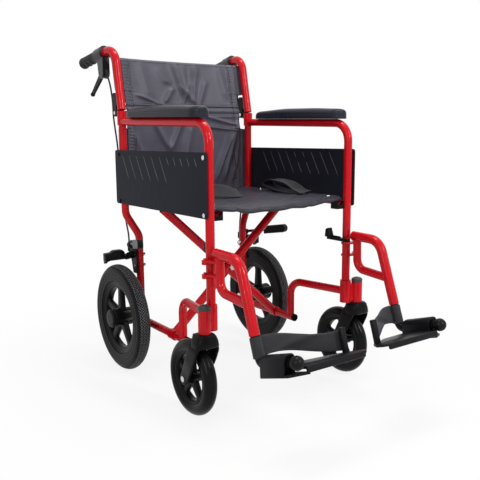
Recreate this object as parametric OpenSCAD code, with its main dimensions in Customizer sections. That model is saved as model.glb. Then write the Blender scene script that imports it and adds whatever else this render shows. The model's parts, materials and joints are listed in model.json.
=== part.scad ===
// Folding transport wheelchair with attendant brakes, in millimetres.
// +Z is up, the chair faces -Y and +X is the sitter's left.
// Every sub-part of a side is drawn on the left and mirrored for the right.

/* [Frame] */
// Half the distance between the arm posts, centre line to centre line
post_half = 221; // [205:1:250]
// Half the distance between the lower rails, centre line to centre line
rail_half = 187; // [180:1:192]
// Distance from the rear post to the front post
post_run = 456; // [440:1:480]
// How far the upper rear post stands behind the rear axle
post_set = 15; // [8:1:22]
// Rear axle behind the middle of the whole chair
axle_y = 262.5; // [245:0.5:280]
// Outer diameter of the frame tubes
tube_d = 22; // [20:0.5:24]
// Wall of the frame tubes
tube_wall = 1.8; // [1.4:0.1:2.5]
// Height of the lower rail
low_rail_z = 138; // [130:1:142]
// Riser in front of the rear axle
riser_run = 246; // [235:1:260]
// Height of the tube that joins the riser to the front post
diagonal_z = 248; // [244:1:256]
// Height where the rear post starts to lean inwards, at its foot
kink_low_z = 392; // [385:1:400]
// Height where the rear post starts to lean inwards, at its top
kink_top_z = 455; // [445:1:465]

/* [Back] */
// Height of the joint in the back posts
hinge_z = 751; // [740:1:762]
// Outer diameter of the push canes
cane_d = 24; // [22:0.5:26]
// Lean of the canes from upright, in degrees
cane_lean = 11; // [8:0.5:14]
// Height of the corner where a cane turns into its handle
cane_corner_z = 928; // [915:1:935]
// Length of a handle behind that corner
handle_l = 196; // [185:1:205]
// Fall of a handle along its length
handle_fall = 28; // [15:1:36]
// How far a handle turns outwards along its length
handle_flare = 15; // [0:1:20]
// Diameter of a push grip
grip_d = 34; // [32:0.5:36]
// Length of a push grip
grip_l = 98; // [85:1:105]
// Height of the top hem of the back
back_top_z = 903; // [880:1:910]
// Thickness of the back and seat fabric
fabric_t = 3; // [2:0.5:4]

/* [Arms and panels] */
// Height of the arm tube at the rear post
arm_rear_z = 720; // [708:1:728]
// Height of the arm tube at the front post
arm_front_z = 708; // [695:1:718]
// Radius of the bend from arm to front post
arm_bend = 50; // [40:1:60]
// Length of an arm pad
pad_l = 378; // [340:1:385]
// Width of an arm pad
pad_w = 50; // [44:1:56]
// Thickness of an arm pad
pad_t = 30; // [24:1:38]
// Lower edge of a side panel
panel_low_z = 487; // [480:1:495]
// Height of a side panel
panel_h = 153; // [145:1:160]
// Thickness of a side panel
panel_t = 4; // [3:0.5:6]

/* [Seat and cross brace] */
// Height of the seat rails
seat_z = 501; // [496:1:506]
// Half the distance between the seat rails
seat_half = 197; // [192:1:198]
// Diameter of a seat rail
seat_rail_d = 20; // [18:0.5:21]
// Drop of the brace's end below the seat rail
brace_drop = 17; // [14:1:18]
// Diameter of a brace tube
brace_d = 24; // [22:0.5:25]
// Front brace in front of the rear axle
brace_run = 194; // [185:1:200]
// Sag of the seat between its rails
seat_sag = 14; // [8:1:18]

/* [Wheels] */
// Diameter of a rear wheel
rear_d = 310; // [300:1:314]
// Width of a rear tyre
rear_w = 40; // [34:1:42]
// Height of the rear tyre from its seat on the rim to its crown
tyre_h = 48; // [44:1:52]
// Half the distance between the rear wheels' middle planes
wheel_half = 250; // [248:1:258]
// How far a hub cap stands out from its wheel's middle plane
cap_out = 40; // [32:1:44]
// Diameter of a rear axle
axle_d = 12; // [10:0.5:14]
// Diameter of a caster wheel
caster_d = 190; // [180:1:194]
// Width of a caster tyre
caster_w = 35; // [30:1:37]
// Trail of a caster behind its stem
trail = 57; // [50:1:62]
// Diameter of a caster stem
stem_d = 12; // [10:0.5:14]

/* [Legrests] */
// Diameter of the hanger tube
hanger_d = 25; // [24:0.5:26]
// Height of a hanger's top tube
hanger_z = 408; // [402:1:414]
// Reach of a hanger's top tube in front of the front post
hanger_run = 119; // [110:1:125]
// Height of a hanger's lower end
hanger_end_z = 249; // [242:1:256]
// How far a hanger's lower end is in front of its bend
hanger_set = 56; // [50:1:62]
// Slope of a footplate, toes up, in degrees
toe_up = 18; // [14:0.5:22]
// Reach of a footplate inwards from its pivot
plate_l = 196; // [180:1:202]
// Depth of a footplate
plate_w = 115; // [108:1:120]
// Diameter of the knob in front of a footplate's pivot
ball_d = 31; // [28:0.5:34]

/* [Hidden] */
$fn = 48;

// Clearances: welded or seated parts, running fits and free gaps
weld_gap = 0.1;
run_gap = 0.05;
free_gap = 0.4;
cloth_gap = 1.2;

// Colours
red = "crimson";
black = "#1c1c1e";
silver = "silver";
cloth = "#2c2e33";

// Places along the chair
rear_y = axle_y + post_set;
front_y = rear_y - post_run;
riser_y = axle_y - riser_run;
axle_z = rear_d / 2;

// Back joint: the collar on the post, the pin behind it and the cane above it
collar_d = tube_d + 6;
collar_h = 40;
pin_d = 6;
pin_y = rear_y + 27;
pin_z = hinge_z - 6;
lug_w = 8;
cheek_w = 5;
cane_foot = [post_half, rear_y, hinge_z + 1.5];
cane_corner = cane_foot + [0, tan(cane_lean) * (cane_corner_z - hinge_z), cane_corner_z - hinge_z - 1.5];
handle_end = cane_corner + [handle_flare, handle_l, -handle_fall];
handle_run = unit(handle_end - cane_corner);
cane_run = unit(cane_corner - cane_foot);
cane_bend = 45;
cane_bend_z = cane_corner_z - cane_bend * tan(acos(cane_run * handle_run) / 2) * cane_run[2];
clamp_at = cane_corner + handle_run * 78;

// Attendant brake lever, in the plane of its clamp
lever_pivot = clamp_at + [0, -2, -55];
lever_reach = [0, 80, -56];
lever_t = 8;

// Panel, its screws and the saddles that the seat rails rest in
panel_x = post_half + tube_d / 2 + free_gap;
panel_front = front_y - 12;
panel_back = rear_y + 23;
panel_screws = [for (y = [front_y, rear_y], z = [panel_low_z + 8, panel_low_z + panel_h - 12]) [y, z]];
screw_d = 5;
seat_front = front_y + 6;
seat_back = rear_y - 14;
saddle_l = 26;
saddle_half = 13;

// Front caster housing beside the foot of the front post
sleeve_d = tube_d + 8;
sleeve_z = caster_d + 29;
sleeve_h = 62;
housing = [wheel_half, front_y - 15, sleeve_z];
housing_h = 56;
housing_d = 30;
fork_gap = caster_w / 2 + 3;
fork_t = 7;
caster_bolt_d = 8;
caster_centre = [wheel_half, housing[1] + trail, caster_d / 2];

// Cross brace: feet on the lower rails, tops on the seat rails
foot = [rail_half, low_rail_z];
top = [seat_half, seat_z - brace_drop];
cross_z = foot[1] + (top[1] - foot[1]) * foot[0] / (foot[0] + top[0]);
brace_front_y = axle_y - brace_run;
brace_rear_y = brace_front_y + brace_d + 2;
brace_bolt_d = 10;
brace_sleeve_l = 24;

// Wheel brake: bracket on the outside of the rear post, levers outside it
bracket_x = rail_half + tube_d / 2 + weld_gap;
bracket_t = 6;
lever_x = bracket_x + bracket_t + free_gap;
shoe_pivot = [axle_y + 16, rear_d + 23];
shoe_bar = [axle_y + 45, rear_d + 13];
park_pivot = [axle_y + 18, rear_d + 53];
park_start = [lever_x + 4, axle_y + 12, rear_d + 56];
park_end = [wheel_half + 4, axle_y - 142, rear_d + 80];
brake_bolts = [rear_d - 8, rear_d + 24];
ferrule = [bracket_x + bracket_t / 2, axle_y + 39, rear_d + 51];

// Legrest: swing pins outside the front post, hanger loop, telescopic foot tube
hanger_x = post_half + 1;
swing = [post_half + 22, front_y - 11];
swing_d = 8;
lug_t = 5;
lug_z = [hanger_z - 53, hanger_z - 20];
hanger_start = [hanger_x, front_y - 25.5, hanger_z];
hanger_corner = [hanger_x, front_y - hanger_run, hanger_z - 2];
hanger_end = [hanger_x, front_y - hanger_run - hanger_set, hanger_end_z];
hanger_down = unit(hanger_end - hanger_corner);
hanger_bend = 45;
loop_d = tube_d;
loop_y = front_y - 40;
loop_low_z = hanger_z - 87;
loop_end = hanger_corner + hanger_down * 99;
inner_d = hanger_d - 2 * tube_wall - 2 * weld_gap;
foot_top = hanger_end - hanger_down * 122;
foot_corner = hanger_end + hanger_down * 63;
toe = [0, -cos(toe_up), sin(toe_up)];
plate_up = [0, sin(toe_up), cos(toe_up)];
stub_d = 20;
plate_origin = foot_corner + toe * 18;
block_l = 86;
ball = plate_origin + toe * (block_l + 22.3);
plate_drop = 10;
plate_t = 6;
tab_at = [172, 66];
strap_h = 46;
strap_t = 2.5;
latch_pivot = [hanger_x - 23, front_y - 25];
latch_end = [hanger_x - 25, front_y + 44];
latch_z = lug_z[1];

// Brake cable from the lever's clamp down to the wheel brake's ferrule.
// Each hand-chosen row holds its shares of the way from the ferrule to the clamp, on each axis.
cable_d = 5;
cable_top = lever_pivot + [-0.9, -30.4, -6];
cable_hand = [
    [1, 1, 1], [1, 0.909, 0.98], [0.96, 0.8, 0.952], [0.92, 0.709, 0.917],
    [0.88, 0.655, 0.879], [0.839, 0.618, 0.838], [0.839, 0.6, 0.798], [0.839, 0.582, 0.758],
    [0.839, 0.509, 0.717], [0.839, 0.418, 0.677], [0.839, 0.309, 0.632], [0.839, 0.218, 0.588],
    [0.839, 0.164, 0.543], [0.839, 0.127, 0.495], [0.799, 0.109, 0.446], [0.799, 0.091, 0.398],
    [0.759, 0.073, 0.349], [0.719, 0.055, 0.301], [0.639, 0.055, 0.253], [0.518, 0.036, 0.204],
    [0.357, 0.018, 0.156], [0.197, 0.018, 0.107], [0.076, 0, 0.067], [0.036, 0, 0.034],
    [0.004, 0, 0]];
cable_span = cable_top - ferrule;
cable_points = [for (k = cable_hand) ferrule + [k[0] * cable_span[0], k[1] * cable_span[1],
    k[2] * cable_span[2]]];

// Hand-chosen middle lines of the lap belt's two halves, over the seat.
// A row holds a share of the way to the seat rail, a run from the rear post, a rise and a tilt.
belt_w = 40;
belt_t = 2.5;
belt_lift = 0.7;
belt_right = [
    [-0.934, 14, 0, 0], [-0.84, 50, 6, 15], [-0.66, 98, 15, 40], [-0.44, 138, 20, 62],
    [-0.2, 164, 21, 66], [0.04, 172, 17, 50], [0.23, 176, 10, 25]];
belt_left = [
    [0.924, 14, 0, 0], [0.922, 80, 1, 2], [0.918, 128, 12, 30], [0.912, 170, 22, 50],
    [0.9, 225, 26, 60], [0.885, 275, 22, 50], [0.865, 318, 14, 35], [0.845, 345, 5, 12]];

function unit(v) = v / norm(v);
function square_to(z) = unit(cross(z, abs(z[0]) < 0.9 ? [1, 0, 0] : [0, 1, 0]));
function turn(p, i) = acos(unit(p[i] - p[i - 1]) * unit(p[i + 1] - p[i]));
function setback(p, i, bend) = bend * tan(turn(p, i) / 2);

// Moves a shape drawn at the origin to p, with its X and Z axes along x and z
module place(p, x, z) {
    y = cross(z, x);
    multmatrix([
        [x[0], y[0], z[0], p[0]],
        [x[1], y[1], z[1], p[1]],
        [x[2], y[2], z[2], p[2]],
        [0, 0, 0, 1]])
        children();
}

module along(a, b) {
    z = unit(b - a);
    place(a, square_to(z), z) children();
}

module rod(a, b, d) {
    along(a, b) cylinder(d = d, h = norm(b - a));
}

module mirrored() {
    mirror([1, 0, 0]) children();
}

// Solid round bar through the points p, with a bend of one radius at each corner.
// A bend is a hair thicker than the runs, which reach a little way into it.
module bar(p, bend, d, past = 0) {
    lap = 0.4;
    swell = 0.3;
    last = len(p) - 1;
    for (i = [0 : last - 1]) {
        run = unit(p[i + 1] - p[i]);
        a = p[i] + run * (i == 0 ? -past : setback(p, i, bend) - lap);
        b = p[i + 1] - run * (i == last - 1 ? -past : setback(p, i + 1, bend) - lap);
        rod(a, b, d);
    }
    if (last > 1)
        for (i = [1 : last - 1]) {
            run = unit(p[i] - p[i - 1]);
            next = unit(p[i + 1] - p[i]);
            side = unit(next - run * (run * next));
            place(p[i] - run * setback(p, i, bend) + side * bend, -side, cross(run, side))
                rotate_extrude(angle = turn(p, i))
                    translate([bend, 0]) circle(d = d + swell);
        }
}

module pipe(p, bend, d, wall) {
    difference() {
        bar(p, bend, d);
        bar(p, bend, d - 2 * wall, 1);
    }
}

// Flat outline of a bar with round ends, radius ra at a and rb at b
module link_outline(a, ra, b, rb) {
    t = atan2(b[1] - a[1], b[0] - a[0]);
    w = acos((ra - rb) / norm(b - a));
    left = [cos(t + w), sin(t + w)];
    right = [cos(t - w), sin(t - w)];
    translate(a) circle(ra);
    translate(b) circle(rb);
    polygon([a + ra * left, b + rb * left, b + rb * right, a + ra * right]);
}

module round_rect(w, h, r) {
    translate([r, 0]) square([w - 2 * r, h]);
    translate([0, r]) square([w, h - 2 * r]);
    for (x = [r, w - r], y = [r, h - r]) translate([x, y]) circle(r);
}

// Stands a flat YZ outline up at x and gives it a thickness along X
module slab(x, t) {
    translate([x, 0, 0]) rotate([90, 0, 90]) linear_extrude(t) children();
}

// A wheel's own frame: local Z along the axle, outwards
module at_axle(p) {
    place(p, [0, 1, 0], [1, 0, 0]) children();
}

// Triangles of a closed skin over rows of points that each go once round the form
function skin_faces(rows, ring) = concat(
    [for (i = [0 : rows - 2], j = [0 : ring - 1])
        [i * ring + j, i * ring + (j + 1) % ring, (i + 1) * ring + (j + 1) % ring]],
    [for (i = [0 : rows - 2], j = [0 : ring - 1])
        [i * ring + j, (i + 1) * ring + (j + 1) % ring, (i + 1) * ring + j]],
    [for (j = [1 : ring - 2]) [0, j + 1, j]],
    [for (j = [1 : ring - 2]) [(rows - 1) * ring, (rows - 1) * ring + j, (rows - 1) * ring + j + 1]]);

// Round cord through hand-chosen points
module cord(p, d, sides) {
    last = len(p) - 1;
    rings = [for (i = [0 : last])
        let (run = unit(p[min(i + 1, last)] - p[max(i - 1, 0)]),
             n = unit(cross([1, 0, 0], run)),
             b = cross(run, n))
        for (k = [0 : sides - 1]) p[i] + d / 2 * (cos(360 * k / sides) * n + sin(360 * k / sides) * b)];
    polyhedron(rings, skin_faces(last + 1, sides), convexity = 6);
}

// Flat webbing: each row holds its middle point, half its width as a vector, and its own up
module webbing(mid, half, up, t) {
    rows = [for (i = [0 : len(mid) - 1])
        let (n = unit(up[i]) * t / 2)
        each [mid[i] - half[i] - n, mid[i] + half[i] - n, mid[i] + half[i] + n, mid[i] - half[i] + n]];
    polyhedron(rows, skin_faces(len(mid), 4), convexity = 6);
}

// Cloth between two edges: at(u, v) gives a point of its face and back its thickness
module sheet(at, back, nu, nv) {
    rows = [for (j = [0 : nv])
        each concat(
            [for (i = [0 : nu]) at(i / nu, j / nv)],
            [for (i = [nu : -1 : 0]) at(i / nu, j / nv) + back])];
    ring = 2 * (nu + 1);
    cap = function (base, flip) [for (i = [0 : nu - 1])
        let (a = base + i, b = base + i + 1, c = base + ring - 2 - i, d = base + ring - 1 - i)
        each flip ? [[a, c, b], [a, d, c]] : [[a, b, c], [a, c, d]]];
    wrap = [for (f = skin_faces(nv + 1, ring)) f];
    sides = [for (i = [0 : 2 * nv * ring - 1]) wrap[i]];
    polyhedron(rows, concat(sides, cap(0, true), cap(nv * ring, false)), convexity = 10);
}

// Smooth curve through hand-chosen points, n steps to each span
function smooth(p, n) = [for (i = [0 : len(p) - 2], k = [0 : n - 1]) curve(p, i, k / n), p[len(p) - 1]];
function curve(p, i, t) =
    let (a = p[max(i - 1, 0)], b = p[i], c = p[i + 1], d = p[min(i + 2, len(p) - 1)])
    (2 * b + (c - a) * t + (2 * a - 5 * b + 4 * c - d) * t * t + (3 * b - a - 3 * c + d) * t * t * t) / 2;

// Top of the seat cloth at a place, with its sag and its slanting folds
function seat_top(x, y) =
    let (s = 1 - pow(x / seat_half, 2), f = (seat_back - y) / (seat_back - seat_front))
    seat_z + seat_rail_d / 2 + cloth_gap + fabric_t - seat_sag * s
        + 2.2 * s * sin(0.9 * x + 1.5 * (y - seat_front)) * pow(max(f, 0), 2);

// Back face of a cane at a height, where the upper back cloth hangs, with the start of its bend
function cane_back(z) =
    let (r = cane_bend - cane_d / 2, up = max(0, z - cane_bend_z) / cos(cane_lean))
    rear_y + tan(cane_lean) * (z - hinge_z) + cane_d / 2 / cos(cane_lean)
        + 1.3 * (r - sqrt(r * r - up * up));

// Arm tube and front post in one bent tube, with the two swing-pin plates welded outside
module arm_tube() {
    p = [[post_half, rear_y - 6, arm_rear_z], [post_half, front_y, arm_front_z],
        [post_half, front_y, sleeve_z + 2]];
    post = [post_half, front_y];
    color(red) difference() {
        union() {
            bar(p, arm_bend, tube_d);
            for (z = lug_z)
                translate([0, 0, z - lug_t - free_gap]) linear_extrude(lug_t)
                    link_outline(post, tube_d / 2 + 3, swing, 8);
            for (z = lug_z)
                translate([swing[0], swing[1], z - lug_t]) cylinder(d = swing_d, h = 2 * lug_t + 4);
        }
        bar(p, arm_bend, tube_d - 2 * tube_wall, 1);
        translate([post_half, rear_y, 0]) cylinder(d = collar_d + 2 * weld_gap, h = 2 * arm_rear_z);
        for (s = panel_screws) if (s[0] == front_y)
            translate([post_half, s[0], s[1]]) rotate([0, 90, 0])
                cylinder(d = screw_d + 2 * weld_gap, h = tube_d);
    }
}

// Rear post: upper run, inward kink, lower run to the axle, and the collar of the back joint
module rear_post() {
    p = [[post_half, rear_y, hinge_z - 1], [post_half, rear_y, kink_top_z],
        [rail_half, axle_y, kink_low_z],
         [rail_half, axle_y, axle_z - 28]];
    color(red) difference() {
        union() {
            bar(p, 45, tube_d);
            translate([post_half, rear_y, hinge_z - 1 - collar_h]) cylinder(d = collar_d, h = collar_h);
            slab(post_half - lug_w / 2, lug_w)
                link_outline([rear_y + 6, pin_z - 8], 9, [pin_y, pin_z], 9);
        }
        bar(p, 45, tube_d - 2 * tube_wall, 1);
        translate([post_half - lug_w, pin_y, pin_z]) rotate([0, 90, 0])
            cylinder(d = pin_d + 2 * run_gap, h = 2 * lug_w);
        translate([rail_half - tube_d, axle_y, axle_z]) rotate([0, 90, 0])
            cylinder(d = axle_d + 2 * run_gap, h = 2 * tube_d);
        for (z = brake_bolts)
            translate([rail_half - tube_d, axle_y, z]) rotate([0, 90, 0])
                cylinder(d = pin_d + 2 * weld_gap, h = 2 * tube_d);
        for (s = panel_screws) if (s[0] == rear_y)
            translate([post_half, s[0], s[1]]) rotate([0, 90, 0])
                cylinder(d = screw_d + 2 * weld_gap, h = tube_d);
    }
}

// Lower rail, riser and diagonal, with the post sleeve and the caster housing welded on
module lower_frame() {
    rail = [[rail_half, axle_y - 4, low_rail_z], [rail_half, riser_y - 15, low_rail_z]];
    riser = [[rail_half, riser_y, low_rail_z + 7], [rail_half, riser_y, diagonal_z],
        [post_half, front_y, diagonal_z + 2]];
    web_from = [post_half, front_y];
    web_to = [housing[0], housing[1]];
    color(red) difference() {
        union() {
            bar(rail, 0, tube_d);
            bar(riser, 40, tube_d);
            translate([post_half, front_y, sleeve_z]) cylinder(d = sleeve_d, h = sleeve_h);
            translate(housing) cylinder(d = housing_d, h = housing_h);
            translate([0, 0, sleeve_z + 5]) linear_extrude(housing_h - 10)
                link_outline(web_from, 8, web_to, 8);
            slab(post_half - 3, 6)
                polygon([[front_y + 4, diagonal_z - 24], [front_y + 30, diagonal_z],
                    [front_y + 4, diagonal_z]]);
        }
        bar(rail, 0, tube_d - 2 * tube_wall, 1);
        bar(riser, 40, tube_d - 2 * tube_wall);
        translate([rail_half, axle_y, 0]) cylinder(d = tube_d + 2 * weld_gap, h = axle_z + tube_d);
        translate([post_half, front_y, sleeve_z - 1])
            cylinder(d = tube_d + 2 * weld_gap, h = sleeve_h + 2);
        translate(housing - [0, 0, 1]) cylinder(d = stem_d + 2 * run_gap, h = housing_h + 2);
    }
}

// A saddle on a post's inner side, in which the seat rail lies
module saddle(y) {
    rest_d = seat_rail_d + 2 * free_gap;
    post_x = post_half - tube_d / 2 - weld_gap;
    difference() {
        translate([seat_half - saddle_half, y - saddle_l / 2, seat_z - 21])
            cube([saddle_half + max(saddle_half - weld_gap, post_x - seat_half), saddle_l, 21]);
        translate([seat_half, y - saddle_l, seat_z]) rotate([-90, 0, 0])
            cylinder(d = rest_d, h = 2 * saddle_l);
    }
}

// Moulded black plugs: rail end, post foot, caster cap and the seat saddles
module frame_plugs() {
    lip = 6;
    bore = tube_d - 2 * tube_wall - 2 * weld_gap;
    color(black) {
        translate([rail_half, riser_y - 15 - weld_gap, low_rail_z]) rotate([90, 0, 0]) {
            cylinder(d = tube_d, h = lip);
            translate([0, 0, -12]) cylinder(d = bore, h = 12.5);
        }
        translate([rail_half, axle_y, axle_z - 28 - weld_gap - lip]) {
            cylinder(d = tube_d, h = lip);
            cylinder(d = bore, h = lip + 10);
        }
        translate(housing + [0, 0, housing_h + weld_gap]) intersection() {
            cylinder(d = housing_d, h = 14);
            translate([0, 0, -10]) sphere(d = 48);
        }
        saddle(front_y + 12);
        saddle(rear_y - 8);
    }
}

module screw_head(d, h) {
    intersection() {
        cylinder(d = d, h = h);
        translate([0, 0, h - 0.9 * d]) sphere(r = 0.9 * d);
    }
}

// Steel fasteners fixed to a side frame: axle, hinge pin, brake bolts and panel screws
module frame_bolts() {
    head_x = rail_half - tube_d / 2 - weld_gap;
    nut_x = wheel_half + 19;
    color(silver) {
        at_axle([head_x, axle_y, axle_z]) {
            translate([0, 0, -7]) cylinder(d = 19, h = 7, $fn = 6);
            cylinder(d = axle_d, h = nut_x + 6 - head_x);
            translate([0, 0, tube_d + 2 * weld_gap])
                cylinder(d = axle_d + 8, h = wheel_half - 27 - free_gap - rail_half - tube_d / 2);
            translate([0, 0, nut_x - head_x]) cylinder(d = 19, h = 8, $fn = 6);
        }
        at_axle([post_half - lug_w / 2 - cheek_w - 2 * free_gap, pin_y, pin_z]) {
            translate([0, 0, -3]) cylinder(d = 10, h = 3);
            cylinder(d = pin_d, h = lug_w + 2 * cheek_w + 4 * free_gap);
            translate([0, 0, lug_w + 2 * cheek_w + 4 * free_gap]) screw_head(10, 3);
        }
        for (z = brake_bolts) at_axle([head_x, axle_y, z]) {
            translate([0, 0, -5]) cylinder(d = 11, h = 5, $fn = 6);
            cylinder(d = pin_d, h = tube_d + 2 * weld_gap + bracket_t);
        }
        for (s = panel_screws) at_axle([panel_x + panel_t + weld_gap, s[0], s[1]]) {
            screw_head(11, 3.5);
            translate([0, 0, -panel_t - 5]) cylinder(d = screw_d, h = panel_t + 5.5);
        }
    }
}

module rear_tyre() {
    wall_w = rear_w - 3;
    color(black) at_axle([wheel_half, axle_y, axle_z]) rotate_extrude() {
        translate([(rear_d - rear_w) / 2, 0]) circle(d = rear_w);
        translate([rear_d / 2 - tyre_h, -wall_w / 2]) square([tyre_h - rear_w / 2 + 6, wall_w]);
    }
}

// Five-spoke moulded rim with its hub and domed cap
module rear_rim() {
    rim_r = rear_d / 2 - tyre_h - weld_gap;
    hub_r = 26;
    color("#26262a") at_axle([wheel_half, axle_y, axle_z]) difference() {
        union() {
            rotate_extrude() translate([rim_r - 19, -15]) square([19, 30]);
            for (k = [0 : 4]) rotate(90 + 72 * k)
                translate([0, 0, -8]) linear_extrude(16)
                    link_outline([hub_r - 8, 0], 15, [rim_r - 12, 0], 11);
            translate([0, 0, -27]) cylinder(r = hub_r, h = cap_out + 19);
            intersection() {
                translate([0, 0, cap_out - 10]) cylinder(r = hub_r, h = 10);
                translate([0, 0, cap_out - 44]) sphere(r = 44);
            }
        }
        translate([0, 0, -28]) cylinder(d = axle_d + 2 * run_gap, h = 50);
        translate([0, 0, 18]) cylinder(d = 23, h = 11);
    }
}

module caster_fork() {
    leg_top = [housing[1], sleeve_z - 23];
    leg_low = [caster_centre[1], caster_centre[2]];
    crown_h = 20;
    color(black) difference() {
        union() {
            for (s = [-1, 1])
                slab(wheel_half + s * (fork_gap + fork_t / 2) - fork_t / 2, fork_t)
                    link_outline(leg_top, 20, leg_low, 16);
            translate([wheel_half, housing[1], sleeve_z - free_gap - crown_h])
                cylinder(d = 44, h = crown_h);
            translate([wheel_half - fork_gap - fork_t, housing[1] - 18, sleeve_z - 22])
                cube([2 * (fork_gap + fork_t), 36, 18]);
            translate([wheel_half, housing[1], sleeve_z - 10]) cylinder(d = stem_d, h = housing_h + 8);
        }
        translate([wheel_half - 50, leg_low[0], leg_low[1]]) rotate([0, 90, 0])
            cylinder(d = caster_bolt_d + 2 * run_gap, h = 100);
    }
}

// Caster wheel: solid tyre on a five-spoke hub
module caster_wheel() {
    seat_r = caster_d / 2 - 29;
    color(black) at_axle(caster_centre) {
        rotate_extrude() intersection() {
            translate([(caster_d - caster_w) / 2, 0]) circle(d = caster_w);
            translate([seat_r, -caster_w / 2]) square([29, caster_w]);
        }
        difference() {
            union() {
                rotate_extrude() translate([seat_r - 9 - weld_gap, -13]) square([9, 26]);
                for (k = [0 : 4]) rotate(90 + 72 * k)
                    translate([0, 0, -7]) linear_extrude(14)
                        link_outline([10, 0], 10, [seat_r - 8, 0], 6);
                translate([0, 0, -fork_gap + free_gap]) cylinder(r = 15, h = 2 * fork_gap - 2 * free_gap);
            }
            translate([0, 0, -50]) cylinder(d = caster_bolt_d + 2 * run_gap, h = 100);
        }
    }
}

module caster_axle() {
    half = fork_gap + fork_t;
    color(silver) at_axle(caster_centre) {
        translate([0, 0, -half - weld_gap]) cylinder(d = caster_bolt_d, h = 2 * half + 2 * weld_gap);
        translate([0, 0, half + weld_gap]) screw_head(15, 5);
        translate([0, 0, -half - weld_gap - 6]) cylinder(d = 13, h = 6, $fn = 6);
    }
}

// Crowned arm pad whose ends and sides draw in, lying along the sloping arm tube
module arm_pad() {
    slope = atan((arm_rear_z - arm_front_z) / post_run);
    run = [0, -cos(slope), -sin(slope)];
    up = [0, -sin(slope), cos(slope)];
    start = [post_half, rear_y - 58, arm_rear_z - 58 * tan(slope)] + up * (tube_d / 2 + free_gap);
    rows = 14;
    ring = 24;
    function bulge(a, n) = sign(a) * pow(abs(a), 2 / n);
    points = [for (i = [0 : rows])
        let (t = 0.5 - 0.5 * cos(180 * i / rows), e = pow(max(1 - pow(abs(2 * t - 1), 9), 0.03), 1 / 2.4))
        for (k = [0 : ring - 1])
            let (a = 360 * k / ring, c = bulge(cos(a), 3.4), s = bulge(sin(a), 2.6))
            start + run * pad_l * t
                + [pad_w / 2 * e * c * (1 + 0.05 * (1 - s)), 0, 0]
                + up * max(0, pad_t * (0.42 + e * (s < 0 ? 0.42 * s : 0.58 * s)))];
    color(black) polyhedron(points, skin_faces(rows + 1, ring), convexity = 4);
}

module side_panel() {
    color("#202124") difference() {
        translate([0, panel_front, panel_low_z])
            slab(panel_x, panel_t) round_rect(panel_back - panel_front, panel_h, 8);
        for (s = panel_screws) translate([panel_x - 1, s[0], s[1]]) rotate([0, 90, 0])
            cylinder(d = screw_d + 2 * weld_gap, h = panel_t + 2);
    }
}

module back_cane() {
    color(red) pipe([cane_foot, cane_corner, handle_end - handle_run * 4], cane_bend, cane_d, tube_wall);
}

// Soft hand grip with finger ridges round its inner half
module push_grip() {
    ridges = 6;
    start = handle_end - handle_run * grip_l;
    pitch = (grip_l - 22) / ridges;
    color(black) along(start, handle_end) difference() {
        union() {
            cylinder(d = grip_d - 3, h = grip_l);
            for (k = [0 : ridges - 1]) translate([0, 0, 10 + pitch * k])
                cylinder(d = grip_d, h = pitch * 0.55);
            cylinder(d = grip_d + 2, h = 6);
            translate([0, 0, grip_l - 8]) cylinder(d = grip_d + 1, h = 8);
        }
        translate([0, 0, -1]) cylinder(d = cane_d + 2 * weld_gap, h = grip_l - 3 + weld_gap);
    }
}

// Brake clamp on the handle, its hanging body and the cable's exit
module brake_clamp() {
    low = lever_pivot + [0, -10, 0];
    body_t = 22;
    color("#2a2a2d") difference() {
        union() {
            along(clamp_at - handle_run * 20, clamp_at + handle_run * 20)
                cylinder(d = cane_d + 16, h = 40);
            slab(clamp_at[0] - body_t / 2, body_t)
                link_outline([clamp_at[1] - 8, clamp_at[2] - 16], 20, [low[1], low[2]], 16);
            along(cable_top + [0, 11, 22], cable_top) cylinder(d = 8, h = norm([11, 22]) - free_gap);
        }
        along(clamp_at - handle_run * 60, clamp_at + handle_run * 60)
            cylinder(d = cane_d + 2 * weld_gap, h = 120);
        translate([clamp_at[0] - lever_t / 2 - free_gap, lever_pivot[1] - 15, lever_pivot[2] - 40])
            cube([lever_t + 2 * free_gap, 60, 56]);
        translate([clamp_at[0] - body_t, lever_pivot[1], lever_pivot[2]]) rotate([0, 90, 0])
            cylinder(d = pin_d + 2 * run_gap, h = 2 * body_t);
    }
}

// Brake lever with its pin and the ball at its end
module brake_lever() {
    p = [lever_pivot[1], lever_pivot[2]];
    e = p + [lever_reach[1], lever_reach[2]];
    body_t = 22;
    color(black) {
        slab(clamp_at[0] - lever_t / 2, lever_t) link_outline(p, 9, e, 4.5);
        translate([clamp_at[0] - body_t / 2, p[0], p[1]]) rotate([0, 90, 0])
            cylinder(d = pin_d, h = body_t);
        place([clamp_at[0], e[0], e[1]], unit(lever_reach), [1, 0, 0]) sphere(d = 14);
    }
}

module brake_cable() {
    color(black) cord(cable_points, cable_d, 8);
}

// Black hinge fork that carries the cane on the collar's lug
module back_hinge() {
    up = 46;
    grip_w = lug_w + 2 * cheek_w + 2 * free_gap;
    saddle_at = cane_foot + cane_run * 24;
    color(black) difference() {
        union() {
            slab(post_half - grip_w / 2, grip_w)
                link_outline([pin_y, pin_z], 10.5, [pin_y + 5, pin_z + up], 10.5);
            translate([post_half - grip_w / 2, pin_y - 20, pin_z + 20]) cube([grip_w, 20, 26]);
        }
        translate([post_half - lug_w / 2 - free_gap, pin_y - 40, pin_z - 20])
            cube([lug_w + 2 * free_gap, 80, 31]);
        translate([post_half - 50, pin_y, pin_z]) rotate([0, 90, 0])
            cylinder(d = pin_d + 2 * run_gap, h = 100);
        along(saddle_at - cane_run * 60, saddle_at + cane_run * 60)
            cylinder(d = cane_d + 2 * weld_gap, h = 120);
    }
}

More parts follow.
